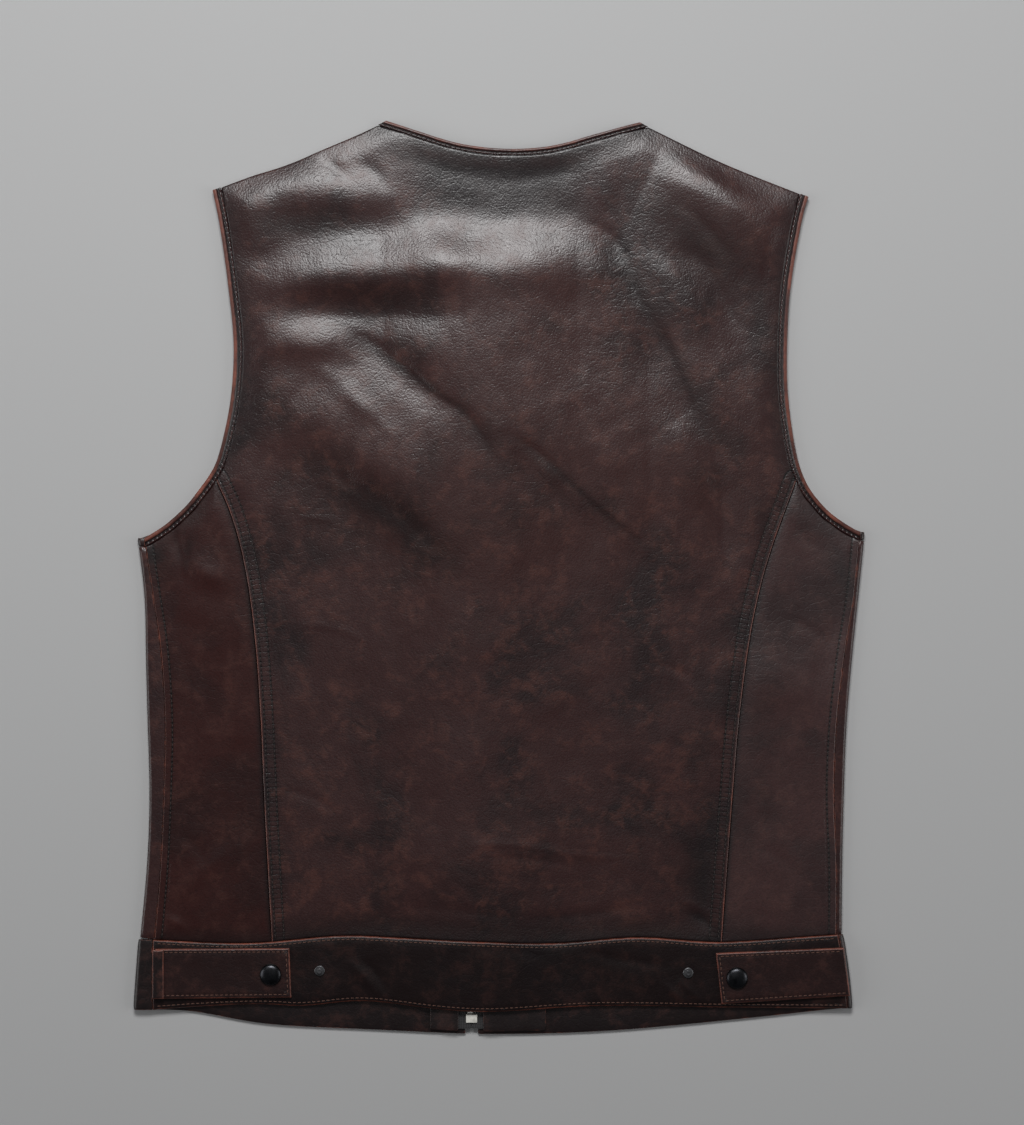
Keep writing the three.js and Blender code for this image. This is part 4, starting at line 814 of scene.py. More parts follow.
def tube_faces(rings, sides, first=0):
    """Faces of a closed tube whose points follow each other ring by ring."""
    faces = []
    last = first + (rings - 1) * sides
    for start in range(first, last, sides):
        for k in range(sides):
            a, b = start + k, start + (k + 1) % sides
            faces.append((a, b, b + sides, a + sides))
    faces.append(tuple(range(first + sides - 1, first - 1, -1)))
    faces.append(tuple(range(last, last + sides)))
    return faces


def softened_piece(name, node, levels, material, crease=CREASE):
    """A copy of a CAD node in quads, subdivided, with its sharp edges kept by creases."""
    bm = welded(node)
    join_quads(bm)
    layer = bm.edges.layers.float.new("crease_edge")
    sharp = []
    for edge in bm.edges:
        if len(edge.link_faces) == 2 and edge.calc_face_angle() > SHARP_ANGLE:
            edge[layer] = crease
            sharp.append([v.co[:] for v in edge.verts])
    mesh = bpy.data.meshes.new("softened")
    bm.to_mesh(mesh)
    bm.free()
    made = subdivided(mesh, levels)
    points = np.array([v.co[:] for v in made.vertices])
    faces = [p.vertices[:] for p in made.polygons]
    bpy.data.meshes.remove(made)
    far = edge_distances(points, sharp)
    attributes = {"wear": SOFTENED_WEAR["most"] * np.exp(-((far / SOFTENED_WEAR["width"]) ** 2))}
    for key in ("lift", "along", "pucker"):
        attributes[key] = np.zeros(len(points))
    return make_piece(name, points, faces, material, attributes, node)


def edge_distances(points, edges):
    """How far each point is from the nearest of some straight edges."""
    dense = []
    for a, b in edges:
        a, b = np.array(a), np.array(b)
        count = max(2, math.ceil(np.linalg.norm(b - a) / MM))
        dense.append(a + (b - a) * np.linspace(0, 1, count)[:, None])
    tree = tree_of_points(np.vstack(dense))
    return np.array([tree.find(place)[2] for place in points])


def half_area(piece):
    """The area of one side of a thin piece."""
    return sum(polygon.area for polygon in piece.data.polygons) / 2


def softened_sheet(node, kind, levels, material, crease=CREASE):
    """A softened piece, with a sheet of its CAD node's size in plan worked out but not kept."""
    piece = softened_piece(f"{node}_{kind}", node, levels, material, crease)
    low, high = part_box(node)
    declare_sheet(high - low, half_area(piece))


def declare_sheet(size, area, turned=0.0):
    """Works out a sheet's plan size with the edges that are turned under, and bounds its area, but keeps
    none of it.
    """
    width, length = sorted((float(size[0]) + 2 * turned, float(size[1]) + 2 * turned))
    area = min(max(area, LEAST_FILL * width * length), width * length)


# Materials


class Nodes:
    """Builds a material's nodes."""

    def __init__(self, name):
        self.material = bpy.data.materials.new(name)
        self.material.use_nodes = True
        self.tree = self.material.node_tree
        self.shader = next(n for n in self.tree.nodes if n.type == "BSDF_PRINCIPLED")

    def add(self, kind, inputs=None, output=0, **settings):
        node = self.tree.nodes.new(kind)
        for key, value in settings.items():
            setattr(node, key, value)
        for key, value in (inputs or {}).items():
            self.set(node, key, value)
        return node.outputs[output]

    def set(self, node, key, value):
        if isinstance(value, bpy.types.NodeSocket):
            self.tree.links.new(value, node.inputs[key])
        else:
            node.inputs[key].default_value = value

    def math(self, operation, a, b=0.0, clamp=False):
        return self.add("ShaderNodeMath", {0: a, 1: b}, operation=operation, use_clamp=clamp)

    def times(self, a, b):
        return self.math("MULTIPLY", a, b)

    def plus(self, a, b):
        return self.math("ADD", a, b)

    def minus(self, a, b):
        return self.math("SUBTRACT", a, b)

    def attribute(self, name):
        return self.add("ShaderNodeAttribute", output="Fac", attribute_name=name)

    def ramp(self, value, low, high):
        return self.add(
            "ShaderNodeMapRange", {"Value": value, "From Min": low, "From Max": high}, clamp=True,
            interpolation_type="SMOOTHSTEP",
        )

    def mix(self, factor, a, b):
        node = self.tree.nodes.new("ShaderNodeMix")
        node.data_type = "RGBA"
        for key, value in ((0, factor), (6, a), (7, b)):
            self.set(node, key, value)
        return node.outputs[2]

    def noise(self, where, scale, detail, roughness, distortion=0.0):
        inputs = {
            "Vector": where, "Scale": scale, "Detail": detail, "Roughness": roughness,
            "Distortion": distortion,
        }
        return self.add("ShaderNodeTexNoise", inputs)

    def waves(self, where, scale, distortion, direction):
        inputs = {"Vector": where, "Scale": scale, "Distortion": distortion}
        return self.add("ShaderNodeTexWave", inputs, bands_direction=direction)

    def principled(self, **values):
        for key, value in values.items():
            self.set(self.shader, key.replace("_", " "), value)

    def relief(self, height, distance=MM):
        """Height in millimetres as a bump."""
        self.principled(Normal=self.add("ShaderNodeBump", {"Height": height, "Distance": distance}))


def rgba(colour, share=1.0):
    return (*(c * share for c in colour), 1.0)


class LeatherNodes(Nodes):
    """Waxed, rubbed leather: mottled colour with painted shade and highlight, pebble grain, fine wrinkles,
    puckers and worn edges.
    """

    def __init__(self, name, base):
        super().__init__(name)
        self.leather = bpy.context.scene.vest_leather
        self.where = self.add("ShaderNodeTexCoord", output="Object")
        self.broad = self.noise(self.where, *BROAD_NOISE)
        self.patchy = self.noise(self.where, *PATCHY_NOISE)
        self.fine = self.noise(self.where, *FINE_NOISE)
        self.colour = base

    def tint(self, share, colour, darker=1.0):
        self.colour = self.mix(share, self.colour, rgba(colour, darker))

    def patches(self, kind, value, share=1.0):
        low, high, most = PATCHES[kind]
        return self.times(self.ramp(value, low, high), most * share)

    def mottle_and_paint_light(self, blush, shade):
        """Darker and redder patches at random, ridges rubbed redder with a painted highlight, and painted
        shade in troughs and where the leather lies in shade.
        """
        leather, lift = self.leather, self.attribute("lift")
        self.tint(self.patches("shade", self.broad, shade), leather.shade)
        self.tint(self.patches("blush", self.patchy, blush), leather.blush)
        # Rubbed ridges, partly a painted highlight: redder and lighter where the folds stand up
        self.tint(self.patches("ridge_wear_and_highlight", lift, blush), leather.blush)
        # Painted shade in troughs, creases and the bindings' stitched grooves
        self.tint(self.patches("trough_painted_shade", self.times(lift, -1.0)), leather.shade)
        # Painted shade from the panels' table and borders, broken up by the patchy noise
        broken = self.ramp(self.patchy, 0.05, 0.6)
        soil = self.math("MULTIPLY", self.attribute("soil"), broken, clamp=True)
        self.tint(soil, leather.shade, 0.6)

    def pebbles(self):
        """The grain's pebbles, raised from 0 to 1 between darker, uneven lines."""
        drift = {"Vector": self.where, "Scale": PEBBLE_DRIFT["scale"], "Detail": 2.0}
        drift = self.add("ShaderNodeTexNoise", drift, output="Color")
        drift = {0: drift, "Scale": PEBBLE_DRIFT["reach"]}
        drift = self.add("ShaderNodeVectorMath", drift, operation="SCALE")
        bent = self.add("ShaderNodeVectorMath", {0: self.where, 1: drift}, operation="ADD")
        cells = self.add(
            "ShaderNodeTexVoronoi",
            {"Vector": bent, "Scale": 1 / self.leather.grain_size, "Randomness": 0.95},
            output="Distance", feature="SMOOTH_F1",
        )
        pebbles = self.minus(1.0, self.math("POWER", self.math("MINIMUM", cells, 1.0), 1.6))
        self.tint(self.minus(0.5, self.times(pebbles, 0.5)), self.leather.shade, 0.25)
        return pebbles

    def wear(self, edge):
        """Rubs the leather's edges down to a warmer colour, in speckles and spots."""
        speckle = self.plus(self.attribute("wear"), self.times(self.minus(self.fine, 0.5), 0.9))
        spots = self.ramp(self.noise(self.where, *SPOT_NOISE), 0.34, 0.6)
        spots = self.plus(self.times(spots, 0.75), 0.25)
        worn = self.times(self.ramp(speckle, 0.38, 0.78), spots)
        worn = self.math("MULTIPLY", worn, edge, clamp=True)
        uneven = self.ramp(self.patchy, 0.35, 0.7)
        rubbed = self.mix(uneven, rgba(self.leather.worn, 0.45), rgba(self.leather.worn))
        self.colour = self.mix(worn, self.colour, rubbed)
        return worn

    def creases(self):
        """Fine wrinkles, a little longer across the vest, in some places only."""
        stretched = {0: self.where, 1: WRINKLE["stretch"]}
        stretched = self.add("ShaderNodeVectorMath", stretched, operation="MULTIPLY")
        wrinkles = self.add(
            "ShaderNodeTexVoronoi", {"Vector": stretched, "Scale": WRINKLE["scale"], "Randomness": 1.0},
            output="Distance", feature="DISTANCE_TO_EDGE",
        )
        return self.times(self.ramp(wrinkles, 0.0, 0.09), self.ramp(self.broad, 0.3, 0.7))

    def puckers(self, rows):
        """Small gathers across a seam and its stitched rows, in millimetres, with painted shade in the
        gaps between the gathers and along the rows.
        """
        pitch = bpy.context.scene.vest_stitching.pitch
        turns = self.times(self.attribute("along"), 2 * math.pi / pitch)
        wave = self.math("COSINE", self.plus(turns, self.times(self.fine, 1.8)))
        half_wave = self.times(self.plus(wave, 1.0), 0.5)
        gathers = self.times(self.math("POWER", half_wave, 6.0), self.attribute("pucker"))
        gathers = self.times(gathers, self.ramp(self.fine, 0.3, 0.62))
        # Painted shade in the gaps between the gathers
        self.tint(self.times(gathers, 0.75), self.leather.shade, 0.3)
        height = self.times(gathers, -RELIEF["gathers"])
        for row in rows:
            away = self.math("ABSOLUTE", self.minus(self.attribute("across"), row))
            line = self.minus(1.0, self.ramp(away, *ROW_LINE))
            line = self.times(line, self.plus(self.times(half_wave, 0.45), 0.55))
            # Painted shade along the stitched row
            self.tint(line, self.leather.shade, 0.15)
            height = self.minus(height, self.times(line, RELIEF["row"]))
        return height


def leather_material(name, finish, rows=()):
    """A leather of one of the finishes, with the stitched rows of its seams."""
    f = dict(zip(FINISH_COLUMNS, FINISHES[finish]))
    n = LeatherNodes(name, rgba(getattr(bpy.context.scene.vest_leather, f["colour"]), f["strength"]))
    n.mottle_and_paint_light(f["blush"], f["shade"])
    height = n.times(n.pebbles(), n.leather.grain_depth / MM * f["grain"])
    worn = n.wear(f["edge"])
    height = n.plus(height, n.times(n.fine, RELIEF["fine"] * f["grain"]))
    height = n.plus(height, n.times(n.patchy, RELIEF["patchy"]))
    height = n.plus(height, n.times(n.creases(), RELIEF["creases"]))
    n.relief(n.plus(height, n.puckers(rows)))
    gloss = n.plus(n.times(n.patchy, 0.22), f["roughness"] - 0.11)
    gloss = n.plus(gloss, n.times(worn, 0.12))
    n.principled(Base_Color=n.colour, Roughness=gloss)
    n.shader.inputs["Specular IOR Level"].default_value = f["specular"]
    return n.material


def thread_material(name, colour):
    n = Nodes(name)
    where = n.add("ShaderNodeTexCoord", output="Object")
    twist = n.waves(where, 900.0, 1.0, "DIAGONAL")
    n.principled(Base_Color=n.mix(twist, rgba(colour, 0.55), rgba(colour)), Roughness=0.62)
    n.relief(twist, 0.05 * MM)
    return n.material


def metal_material(name, colour, roughness, metallic=1.0):
    """Scuffed metal with patches of tarnish."""
    n = Nodes(name)
    where = n.add("ShaderNodeTexCoord", output="Object")
    scuffs = n.noise(where, 900, 4, 0.6)
    tarnish = n.ramp(n.noise(where, 220, 3, 0.5), 0.45, 0.75)
    n.principled(
        Base_Color=n.mix(tarnish, rgba(colour), rgba(colour, 0.55)),
        Roughness=n.plus(n.times(scuffs, 0.2), roughness),
    )
    n.shader.inputs["Metallic"].default_value = metallic
    n.relief(scuffs, 0.02 * MM)
    return n.material


def tape_material(name, colour):
    """Tape woven with fine ribs both ways."""
    n = Nodes(name)
    where = n.add("ShaderNodeTexCoord", output="Object")
    weave = n.times(n.plus(n.waves(where, 280.0, 0.4, "Y"), n.waves(where, 190.0, 0.4, "X")), 0.5)
    n.principled(Base_Color=n.mix(weave, rgba(colour, 0.4), rgba(colour, 2.2)), Roughness=0.85)
    n.shader.inputs["Sheen Weight"].default_value = 0.2
    n.relief(weave, 0.15 * MM)
    return n.material


# Back panels


def flipped(line):
    return line[::-1]


@functools.cache
def back_lines():
    """The back's border lines by name, upwards or to the right."""
    found = borders("back_centre", 8)
    names = (
        "hem", "princess_right", "armhole_right", "shoulder_right",
        "neck", "shoulder_left", "armhole_left", "princess_left",
    )
    lines = dict(zip(names, found))
    for name in names[3:]:
        lines[name] = flipped(lines[name])
    return lines


@functools.cache
def side_lines(side):
    """A side panel's border lines by name, upwards or to the right."""
    hem, right, upper, left = borders(f"back_side_{side}", 4)
    return {"hem": hem, "right": right, "armhole": flipped(upper), "left": flipped(left)}


def build_back_centre():
    lines = back_lines()
    panel = Panel(
        "back_centre",
        [lines["hem"]],
        [lines["shoulder_left"], lines["neck"], lines["shoulder_right"]],
        [lines["princess_left"], lines["armhole_left"]],
        [lines["princess_right"], lines["armhole_right"]],
        PANEL_CELL,
    )
    panel.roll(lines)
    for side in SIDES:
        panel.sew_seam(lines[f"princess_{side}"], PRINCESS_ROWS, PUCKER_REACH["princess"])
    seams = np.min([nearest(panel.points, lines[f"princess_{side}"])[0] for side in SIDES], axis=0)
    panel.attributes["wear"] = SEAM_WEAR["most"] * np.exp(-((seams / SEAM_WEAR["width"]) ** 2))
    material = leather_material("leather_back", "back", PRINCESS_ROWS)
    panel.build(LEATHER_THICKNESS, material, "leather_back", ["front_left", "front_right"])


def build_back_side(side):
    lines = side_lines(side)
    seam, row = lines[side], SIDE_ROWS[0]
    panel = Panel(
        f"back_side_{side}", [lines["hem"]], [lines["armhole"]], [lines["left"]], [lines["right"]],
        PANEL_CELL,
    )
    panel.roll(lines)
    panel.sew_seam(seam, SIDE_ROWS, PUCKER_REACH["side"])
    away = nearest(panel.points, seam)[0]
    strip = SIDE_WEAR["strip"] * (1 - smooth(away, row - 1.2 * MM, row - 0.4 * MM))
    rubbed = SIDE_WEAR["most"] * np.exp(-((away / SIDE_WEAR["width"]) ** 2))
    panel.attributes["wear"] = np.maximum(rubbed, strip)
    material = leather_material(f"leather_side_{side}", f"side_{side}", SIDE_ROWS)
    panel.build(LEATHER_THICKNESS, material, "leather_side", [f"front_{side}"])


# Fronts and facings


def build_front(side):
    material = leather_material(f"leather_front_{side}", "front")
    softened_sheet(f"front_{side}", "leather", 2, material)


def build_facing(side):
    material = leather_material(f"leather_facing_{side}", "facing")
    softened_sheet(f"facing_{side}", "leather", 3, material)


# Waistband and tabs


def four_sided(node, cell):
    lower, right, upper, left = borders(node, 4)
    return Panel(node, [lower], [flipped(upper)], [flipped(left)], [right], cell)


def sewn_edges(node):
    """The borders that are stitched all along: all but the root of a tab and the band's ends."""
    lower, right, upper, left = borders(node, 4)
    free_end = {"waistband_back": [], "tab_left": [right], "tab_right": [left]}
    return [lower, upper, *free_end[node]]


def build_waistband_back():
    panel = four_sided("waistband_back", BAND_CELL)
    panel.sew_edges(BAND_SEWING)
    panel.wear_edges(BAND_WEAR)
    material = leather_material("leather_band", "band")
    rests_on = ["waistband_front_left", "waistband_front_right"]
    panel.build(BAND_THICKNESS, material, "leather_band", rests_on)


def build_waistband_front(side):
    node = f"waistband_front_{side}"
    material = leather_material(f"leather_band_front_{side}", "band_front")
    softened_sheet(node, "leather", 3, material, 0.6)


def build_tab(side):
    panel = four_sided(f"tab_{side}", TAB_CELL)
    panel.sew_edges(TAB_SEWING)
    panel.wear_edges(BAND_WEAR)
    material = leather_material(f"leather_tab_{side}", "tab")
    panel.build(TAB_THICKNESS, material, "leather_band", ["waistband_back"])


def build_tab_root_strip():
    panel = four_sided("tab_root_strip_left", STRIP_CELL)
    panel.wear_edges(STRIP_WEAR)
    material = leather_material("leather_tab_strip", "tab_strip")
    panel.build(STRIP_THICKNESS, material, "leather_band", ["tab_left"], turned=1.2 * MM)


# Bindings


@functools.cache
def binding_lines(node):
    """A back binding's outer and inner edges: upwards at an armhole, to the right at the neck."""
    long = sorted(borders(node, 4), key=length_of)[-2:]
    if "armhole" in node:
        long.sort(key=lambda line: -abs(line[:, 0].mean()))
        axis = 1
    else:
        long.sort(key=lambda line: -line[:, 1].mean())
        axis = 0
    return [line if line[0, axis] < line[-1, axis] else flipped(line) for line in long]


def bump(value, width):
    return math.exp(-((value / width) ** 2))


def build_binding_back(node, kind, joint_at=None):
    """A folded strip swept along a back binding's edges, pinched at each stitch."""
    outer, inner = binding_lines(node)
    count = round(length_of(outer) / BINDING_STEP)
    shares = np.linspace(0, 1, count + 1)
    outer = along(outer, shares * length_of(outer))
    inner = along(inner, shares * length_of(inner))
    run = shares * length_of(outer)
    pitch = bpy.context.scene.vest_stitching.pitch
    points, attributes = [], {"wear": [], "lift": [], "along": [], "pucker": []}
    phase = random.Random(node).uniform(0, 10)
    for i in range(count + 1):
        wobble = WOBBLE["height"] * noise.noise(Vector((run[i] / WOBBLE["length"], phase, 0)))
        for across, up in BINDING_SECTION:
            x, y, z = outer[i] * (1 - across) + inner[i] * across
            pinch = math.cos(2 * math.pi * run[i] / pitch) * bump(across - 0.78, 0.16)
            lifted = (up - 0.5) * BINDING_HEIGHT[kind] + wobble * up - PINCH_DEPTH * pinch * (up > 0.3)
            if joint_at is not None:
                slant = run[i] - joint_at - (across - 0.5) * JOINT["slant"]
                lifted -= JOINT["depth"] * bump(slant, JOINT["width"]) * (up > 0.3)
            points.append((x, y, z + lifted))
            rubbed = BINDING_RUBBED[kind] * max(0.0, 1 - (across / 0.56) ** 3)
            attributes["wear"].append(rubbed if up > 0.1 else 0.2)
            # Painted shade in the stitched groove, through the troughs' dark tint
            attributes["lift"].append(-2.5 * bump(across - BINDING_GROOVE_AT, 0.13))
            attributes["along"].append(run[i])
            attributes["pucker"].append(bump(across - 0.8, 0.2))
    faces = tube_faces(count + 1, len(BINDING_SECTION))
    if np.cross(outer[1] - outer[0], inner[0] - outer[0])[2] > 0:
        faces = [face[::-1] for face in faces]
    material = leather_material(f"leather_{node}", "binding_back")
    piece = make_piece(f"{node}_leather", points, faces, material, attributes, node)
    declare_sheet((BINDING_CUT, length_of(outer)), half_area(piece))


def build_binding_front(node):
    material = leather_material(f"leather_{node}", "binding_front")
    piece = softened_piece(f"{node}_leather", node, 2, material, crease=0.4)
    area = half_area(piece)
    declare_sheet((BINDING_CUT, area / (0.75 * BINDING_CUT)), area)


# Stitching

STITCH_SIDES = 6
STITCH_RINGS = [
    (-0.5, 0.3, -0.55), (-0.34, 0.9, 0.05), (0.0, 1.0, 0.35), (0.34, 0.9, 0.05), (0.5, 0.3, -0.55),
]
STITCH_SWAY = 0.09
STITCH_RAY_FROM = 0.05


def stitches_along(line, tree):
    """Points and faces of a row of stitches laid on a surface along a line of the plan."""
    thread = bpy.context.scene.vest_stitching
    total = length_of(line)
    count = int(total / thread.pitch)
    radius = thread.thickness / 2
    rng = random.Random(count)
    points, faces = [], []
    for k in range(count):
        at = (k + 0.5) * total / count
        centre, ahead = along(line, [at, min(at + 0.5 * MM, total)])
        place, up = tree.ray_cast(Vector((centre[0], centre[1], STITCH_RAY_FROM)), DOWN)[:2]
        if place is None:
            continue
        way = Vector((ahead[0] - centre[0], ahead[1] - centre[1], 0))
        way.rotate(Matrix.Rotation(rng.uniform(-STITCH_SWAY, STITCH_SWAY), 3, "Z"))
        way = (way - up * way.dot(up)).normalized()
        side = up.cross(way)
        faces += tube_faces(len(STITCH_RINGS), STITCH_SIDES, len(points))
        for share, wide, high in STITCH_RINGS:
            middle = place + way * (share * thread.length) + up * (high * radius)
            for s in range(STITCH_SIDES):
                turn = 2 * math.pi * s / STITCH_SIDES
                around = side * math.cos(turn) + up * math.sin(turn)
                points.append(middle + around * (radius * wide))
    return points, faces


def tree_of(name):
    """A search tree of a piece."""
    mesh = bpy.data.objects[name].data
    return BVHTree.FromPolygons([v.co for v in mesh.vertices], [p.vertices[:] for p in mesh.polygons])


def stitch_piece(name, rows, material):
    """One mesh of several stitched rows: each row is a line and the search tree that it lies on."""
    points, faces = [], []
    for line, tree in rows:
        more_points, more_faces = stitches_along(line, tree)
        faces += [tuple(v + len(points) for v in face) for face in more_faces]
        points += more_points
    return make_piece(name, points, faces, material)


def inset_line(line, distance, trim=0.0):
    """A line moved sideways, with its ends cut back."""
    moved = offset(evenly(line, MM), distance)
    total = length_of(moved)
    return along(moved, np.linspace(trim, total - trim, max(2, round(total / MM))))


# Stage


CAMERA_OVER = (0.0091, 0.01085)
SENSOR_WIDTH = 36
FLOOR_HALF = 3.0
LIGHTS = {
    "key_light": {"power": "key", "size": (1.0, 0.56), "place": (-0.1, 1.2, 1.5)},
    "sheen_light": {"power": "sheen", "size": (0.6, 0.7), "place": (0.0, -0.05, 2.3)},
    "left_light": {"power": "fill", "size": (1.2, 1.2), "place": (-1.9, -0.2, 0.95)},
    "right_light": {"power": "fill", "size": (1.2, 1.2), "place": (1.9, -0.2, 0.95)},
}
WORLD_COLOUR = (0.85, 0.88, 0.95, 1)
WORLD_STRENGTH = 0.07


def build_camera(stage, target):
    camera = placed("camera", bpy.data.cameras.new("camera"))
    camera.data.lens = stage.lens
    camera.data.sensor_width = SENSOR_WIDTH
    camera.location = target + Vector((0, 0, stage.height))
    bpy.context.scene.camera = camera


def build_floor(stage):
    floor = placed("floor", bpy.data.meshes.new("floor"))
    corners = [(x * FLOOR_HALF, y * FLOOR_HALF, 0) for x, y in ((-1, -1), (1, -1), (1, 1), (-1, 1))]
    floor.data.from_pydata(corners, [], [(0, 1, 2, 3)])
    n = Nodes("floor")
    n.principled(Base_Color=rgba(stage.floor), Roughness=0.9)
    floor.data.materials.append(n.material)


def build_lights(stage, target):
    for name, row in LIGHTS.items():
        light = placed(name, bpy.data.lights.new(name, "AREA"))
        light.data.shape = "RECTANGLE"
        light.data.size, light.data.size_y = row["size"]
        light.data.energy = getattr(stage, row["power"])
        light.location = row["place"]
        light.rotation_euler = (target - Vector(row["place"])).to_track_quat("-Z", "Y").to_euler()


def build_world():
    world = bpy.data.worlds.new("world")
    world.use_nodes = True
    background = world.node_tree.nodes["Background"]
    background.inputs["Color"].default_value = WORLD_COLOUR
    background.inputs["Strength"].default_value = WORLD_STRENGTH
    bpy.context.scene.world = world
    bpy.context.scene.view_settings.view_transform = "Standard"


# Snaps and zip

CAP_PROFILE = [
    (0.0, 1.0), (0.25, 0.985), (0.5, 0.93), (0.7, 0.82), (0.85, 0.66), (0.94, 0.47), (0.985, 0.26),
    (1.0, 0.08), (0.985, 0.0), (0.0, 0.0),
]
STUD_PROFILE = [
    (0.0, 0.92), (0.22, 0.93), (0.36, 0.98), (0.44, 0.94), (0.47, 0.8), (0.45, 0.55), (0.5, 0.36),
    (0.66, 0.3), (0.82, 0.34), (0.93, 0.3), (1.0, 0.16), (1.0, 0.0), (0.0, 0.0),
]
TURNS = 48
TOOTH = {"pitch": 2.4 * MM, "long": 1.15 * MM, "reach": 3.6 * MM, "tall": 1.9 * MM, "share": 0.42}
TOOTH_CORNERS = [(x, y, z) for z in (-1, 1) for x, y in ((-1, -1), (1, -1), (1, 1), (-1, 1))]
TOOTH_FACES = [(0, 3, 2, 1), (4, 5, 6, 7), (0, 1, 5, 4), (1, 2, 6, 5), (2, 3, 7, 6), (3, 0, 4, 7)]
BEVEL_SEGMENTS = 3
BEVEL_ANGLE = math.radians(35)


def lathed(profile, low, high):
    """A solid of revolution that fills a box, from shares of its radius and height."""
    centre = (low + high) / 2
    radius = (high.x - low.x) / 2
    points, faces = [], []
    rings = profile[1:-1]
    points.append((centre.x, centre.y, low.z + profile[0][1] * (high.z - low.z)))
    for share, up in rings:
        for k in range(TURNS):
            turn = 2 * math.pi * k / TURNS
            points.append((
                centre.x + radius * share * math.cos(turn),
                centre.y + radius * share * math.sin(turn),
                low.z + up * (high.z - low.z),
            ))
    points.append((centre.x, centre.y, low.z))
    last = len(points) - 1
    for k in range(TURNS):
        following = (k + 1) % TURNS
        faces.append((0, 1 + k, 1 + following))
        for r in range(len(rings) - 1):
            a, b = 1 + r * TURNS + k, 1 + r * TURNS + following
            faces.append((a, a + TURNS, b + TURNS, b))
        base = 1 + (len(rings) - 1) * TURNS
        faces.append((last, base + following, base + k))
    return points, faces


def build_snap(kind, side, material):
    node = f"snap_{kind}_{side}"
    points, faces = lathed(CAP_PROFILE if kind == "cap" else STUD_PROFILE, *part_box(node))
    make_piece(f"{node}_metal", points, faces, material, None, node)


def build_zip_teeth(material):
    """The closed zip's teeth, by turns from each tape."""
    low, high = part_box("zip_chain")
    middle = (low + high) / 2
    points, faces = [], []
    for k in range(2 * int((high.y - low.y) / TOOTH["pitch"])):
        y = low.y + (k / 2 + 0.5) * TOOTH["pitch"]
        if y + TOOTH["long"] / 2 > high.y:
            break
        way = 1 if k % 2 else -1
        x = middle.x + way * ((high.x - low.x) - TOOTH["reach"]) / 2
        faces += [tuple(len(points) + v for v in face) for face in TOOTH_FACES]
        for dx, dy, dz in TOOTH_CORNERS:
            points.append((
                x + dx * TOOTH["reach"] / 2,
                y + dy * TOOTH["share"] * TOOTH["pitch"] / 2,
                middle.z + dz * TOOTH["tall"] / 2,
            ))
    make_piece("zip_teeth", points, faces, material, None, "zip_chain")


def finish_node(name, material, bevel):
    """Rounds a carried-over CAD node's edges and gives it its material."""
    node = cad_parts[name]
    node.data.materials.clear()
    node.data.materials.append(material)
    rounding = node.modifiers.new("Bevel", "BEVEL")
    rounding.width = bevel
    rounding.segments = BEVEL_SEGMENTS
    rounding.limit_method = "ANGLE"
    rounding.angle_limit = BEVEL_ANGLE


def build_zip_tape(side, material):
    softened_sheet(f"zip_tape_{side}", "cloth", 2, material)


# Rows of stitching


def seam_rows(line, side, distances):
    """Stitched rows beside a seam, on the side of the vest's middle."""
    inward = -1 if side == "left" else 1
    return [inset_line(line, inward * distance, 2 * MM) for distance in distances]


def build_back_stitches():
    dark = thread_material("thread_dark", bpy.context.scene.vest_stitching.dark)
    tree = tree_of("back_centre_leather")
    rows = []
    for side in SIDES:
        rows += [(row, tree) for row in seam_rows(back_lines()[f"princess_{side}"], side, PRINCESS_ROWS)]
    stitch_piece("back_stitches", rows, dark)
    rows = []
    for side in SIDES:
        tree = tree_of(f"back_side_{side}_leather")
        rows += [(row, tree) for row in seam_rows(side_lines(side)[side], side, SIDE_ROWS)]
    stitch_piece("side_stitches", rows, dark)


def build_binding_stitches():
    dark = thread_material("thread_binding", bpy.context.scene.vest_stitching.dark)
    rows = []
    for node in ("armhole_binding_back_left", "armhole_binding_back_right", "neck_binding_back"):
        outer, inner = binding_lines(node)
        shares = np.linspace(0.004, 0.996, round(length_of(outer) / MM))
        line = (
            along(outer, shares * length_of(outer)) * (1 - BINDING_GROOVE_AT)
            + along(inner, shares * length_of(inner)) * BINDING_GROOVE_AT
        )
        rows.append((line, tree_of(f"{node}_leather")))
    stitch_piece("binding_stitches", rows, dark)


def build_band_stitches():
    tan = thread_material("thread_tan", bpy.context.scene.vest_stitching.tan)
    rows = []
    for node in ("waistband_back", "tab_left", "tab_right"):
        sewing = BAND_SEWING if node == "waistband_back" else TAB_SEWING
        tree = tree_of(f"{node}_leather")
        rows += [(inset_line(line, sewing["row"], sewing["trim"]), tree) for line in sewn_edges(node)]
    stitch_piece("band_stitches", rows, tan)


# Operators


class VEST_OT_stage(bpy.types.Operator):
    """Set the camera, the pale floor and the soft studio lights"""

    bl_idname = "vest.stage"
    bl_label = "Stage"

    def execute(self, context):
        stage = context.scene.vest_stage
        target = Vector((*CAMERA_OVER, CAD_BOX[1].z))
        build_camera(stage, target)
        build_floor(stage)
        build_lights(stage, target)
        build_world()
        return {"FINISHED"}


class VEST_OT_back(bpy.types.Operator):
    """Build the back's three leather panels with their folds and seams"""

    bl_idname = "vest.back"
    bl_label = "Back panels"

    def execute(self, context):
        build_back_centre()
        for side in SIDES:
            build_back_side(side)
        return {"FINISHED"}


class VEST_OT_fronts(bpy.types.Operator):
    """Build the two fronts under the back and their facings"""

    bl_idname = "vest.fronts"
    bl_label = "Fronts and facings"

    def execute(self, context):
        for side in SIDES:
            build_front(side)
            build_facing(side)
        return {"FINISHED"}


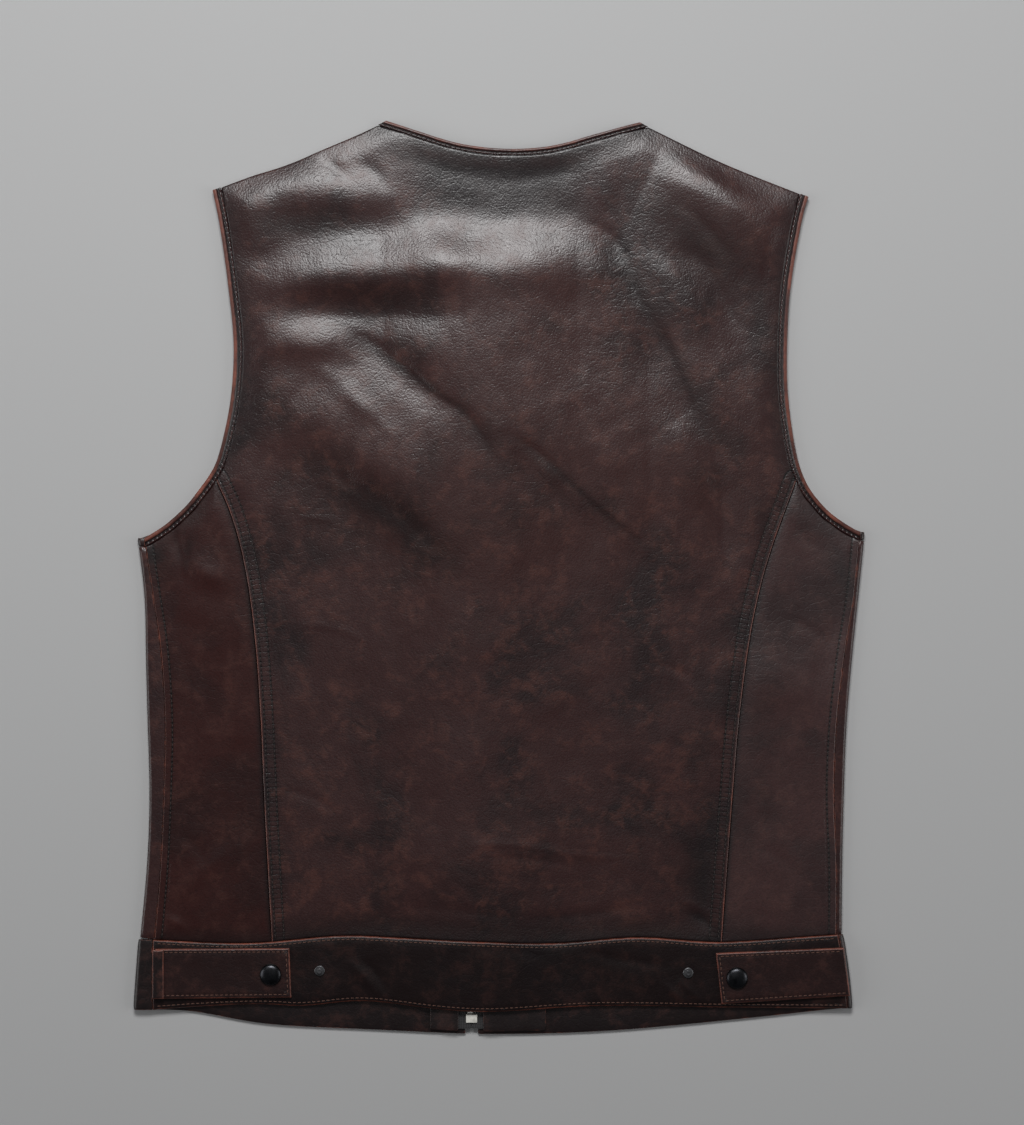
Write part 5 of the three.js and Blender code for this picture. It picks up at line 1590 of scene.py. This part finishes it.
class VEST_OT_waistband(bpy.types.Operator):
    """Build the waistband, front and back, and its tabs"""

    bl_idname = "vest.waistband"
    bl_label = "Waistband and tabs"

    def execute(self, context):
        build_waistband_back()
        for side in SIDES:
            build_waistband_front(side)
            build_tab(side)
        build_tab_root_strip()
        return {"FINISHED"}


class VEST_OT_bindings(bpy.types.Operator):
    """Build the bindings of the neck and the armholes"""

    bl_idname = "vest.bindings"
    bl_label = "Bindings"

    def execute(self, context):
        build_binding_back("neck_binding_back", "neck")
        for side in SIDES:
            node = f"armhole_binding_back_{side}"
            build_binding_back(node, "armhole", joint_at=binding_joint(side))
            build_binding_front(f"armhole_binding_front_{side}")
            build_binding_front(f"neck_binding_front_{side}")
        return {"FINISHED"}


def binding_joint(side):
    """How far along an armhole's binding the top of the princess seam is."""
    seam_top = back_lines()[f"princess_{side}"][-1:]
    return nearest(seam_top, binding_lines(f"armhole_binding_back_{side}")[0])[1][0]


class VEST_OT_hardware(bpy.types.Operator):
    """Build the snaps and the zip"""

    bl_idname = "vest.hardware"
    bl_label = "Snaps and zip"

    def execute(self, context):
        metal = bpy.context.scene.vest_metal
        gunmetal = metal_material("gunmetal", metal.snap, 0.22)
        bare = metal_material("stud_metal", metal.stud, 0.22, 0.7)
        silver = metal_material("zip_metal", metal.zip, 0.3, 0.3)
        tape = tape_material("zip_tape", metal.tape)
        for side in SIDES:
            build_snap("cap", side, gunmetal)
            build_snap("stud", side, bare)
            build_zip_tape(side, tape)
        build_zip_teeth(silver)
        finish_node("zip_box", silver, 0.5 * MM)
        finish_node("zip_slider", silver, 0.4 * MM)
        finish_node("zip_pull", silver, 0.2 * MM)
        return {"FINISHED"}


class VEST_OT_stitching(bpy.types.Operator):
    """Lay the rows of stitches on the seams, bindings, waistband and tabs"""

    bl_idname = "vest.stitching"
    bl_label = "Stitching"

    def execute(self, context):
        build_back_stitches()
        build_binding_stitches()
        build_band_stitches()
        return {"FINISHED"}


class VEST_PT_panel(bpy.types.Panel):
    """Lists the vest's settings and its operators"""

    bl_idname = "VEST_PT_panel"
    bl_label = "Leather vest"
    bl_space_type = "VIEW_3D"
    bl_region_type = "UI"
    bl_category = "Vest"

    def draw(self, context):
        for name in SETTINGS:
            box = self.layout.box()
            settings = getattr(context.scene, name)
            for key in settings.bl_rna.properties.keys():
                if key not in ("rna_type", "name"):
                    box.prop(settings, key)
        for operator in OPERATORS:
            self.layout.operator(operator.bl_idname)


SETTINGS = {
    "vest_leather": VestLeather,
    "vest_stitching": VestStitching,
    "vest_metal": VestMetal,
    "vest_stage": VestStage,
}
OPERATORS = (
    VEST_OT_stage, VEST_OT_back, VEST_OT_fronts, VEST_OT_waistband, VEST_OT_bindings, VEST_OT_hardware,
    VEST_OT_stitching,
)


def register():
    for group in SETTINGS.values():
        bpy.utils.register_class(group)
    for name, group in SETTINGS.items():
        setattr(bpy.types.Scene, name, PointerProperty(type=group))
    for operator in OPERATORS:
        bpy.utils.register_class(operator)
    bpy.utils.register_class(VEST_PT_panel)


def unregister():
    bpy.utils.unregister_class(VEST_PT_panel)
    for operator in reversed(OPERATORS):
        bpy.utils.unregister_class(operator)
    for name in SETTINGS:
        delattr(bpy.types.Scene, name)
    for group in reversed(SETTINGS.values()):
        bpy.utils.unregister_class(group)


def main():
    register()
    for operator in OPERATORS:
        getattr(bpy.ops.vest, operator.bl_idname.split(".")[1])()


if __name__ == "__main__":
    main()
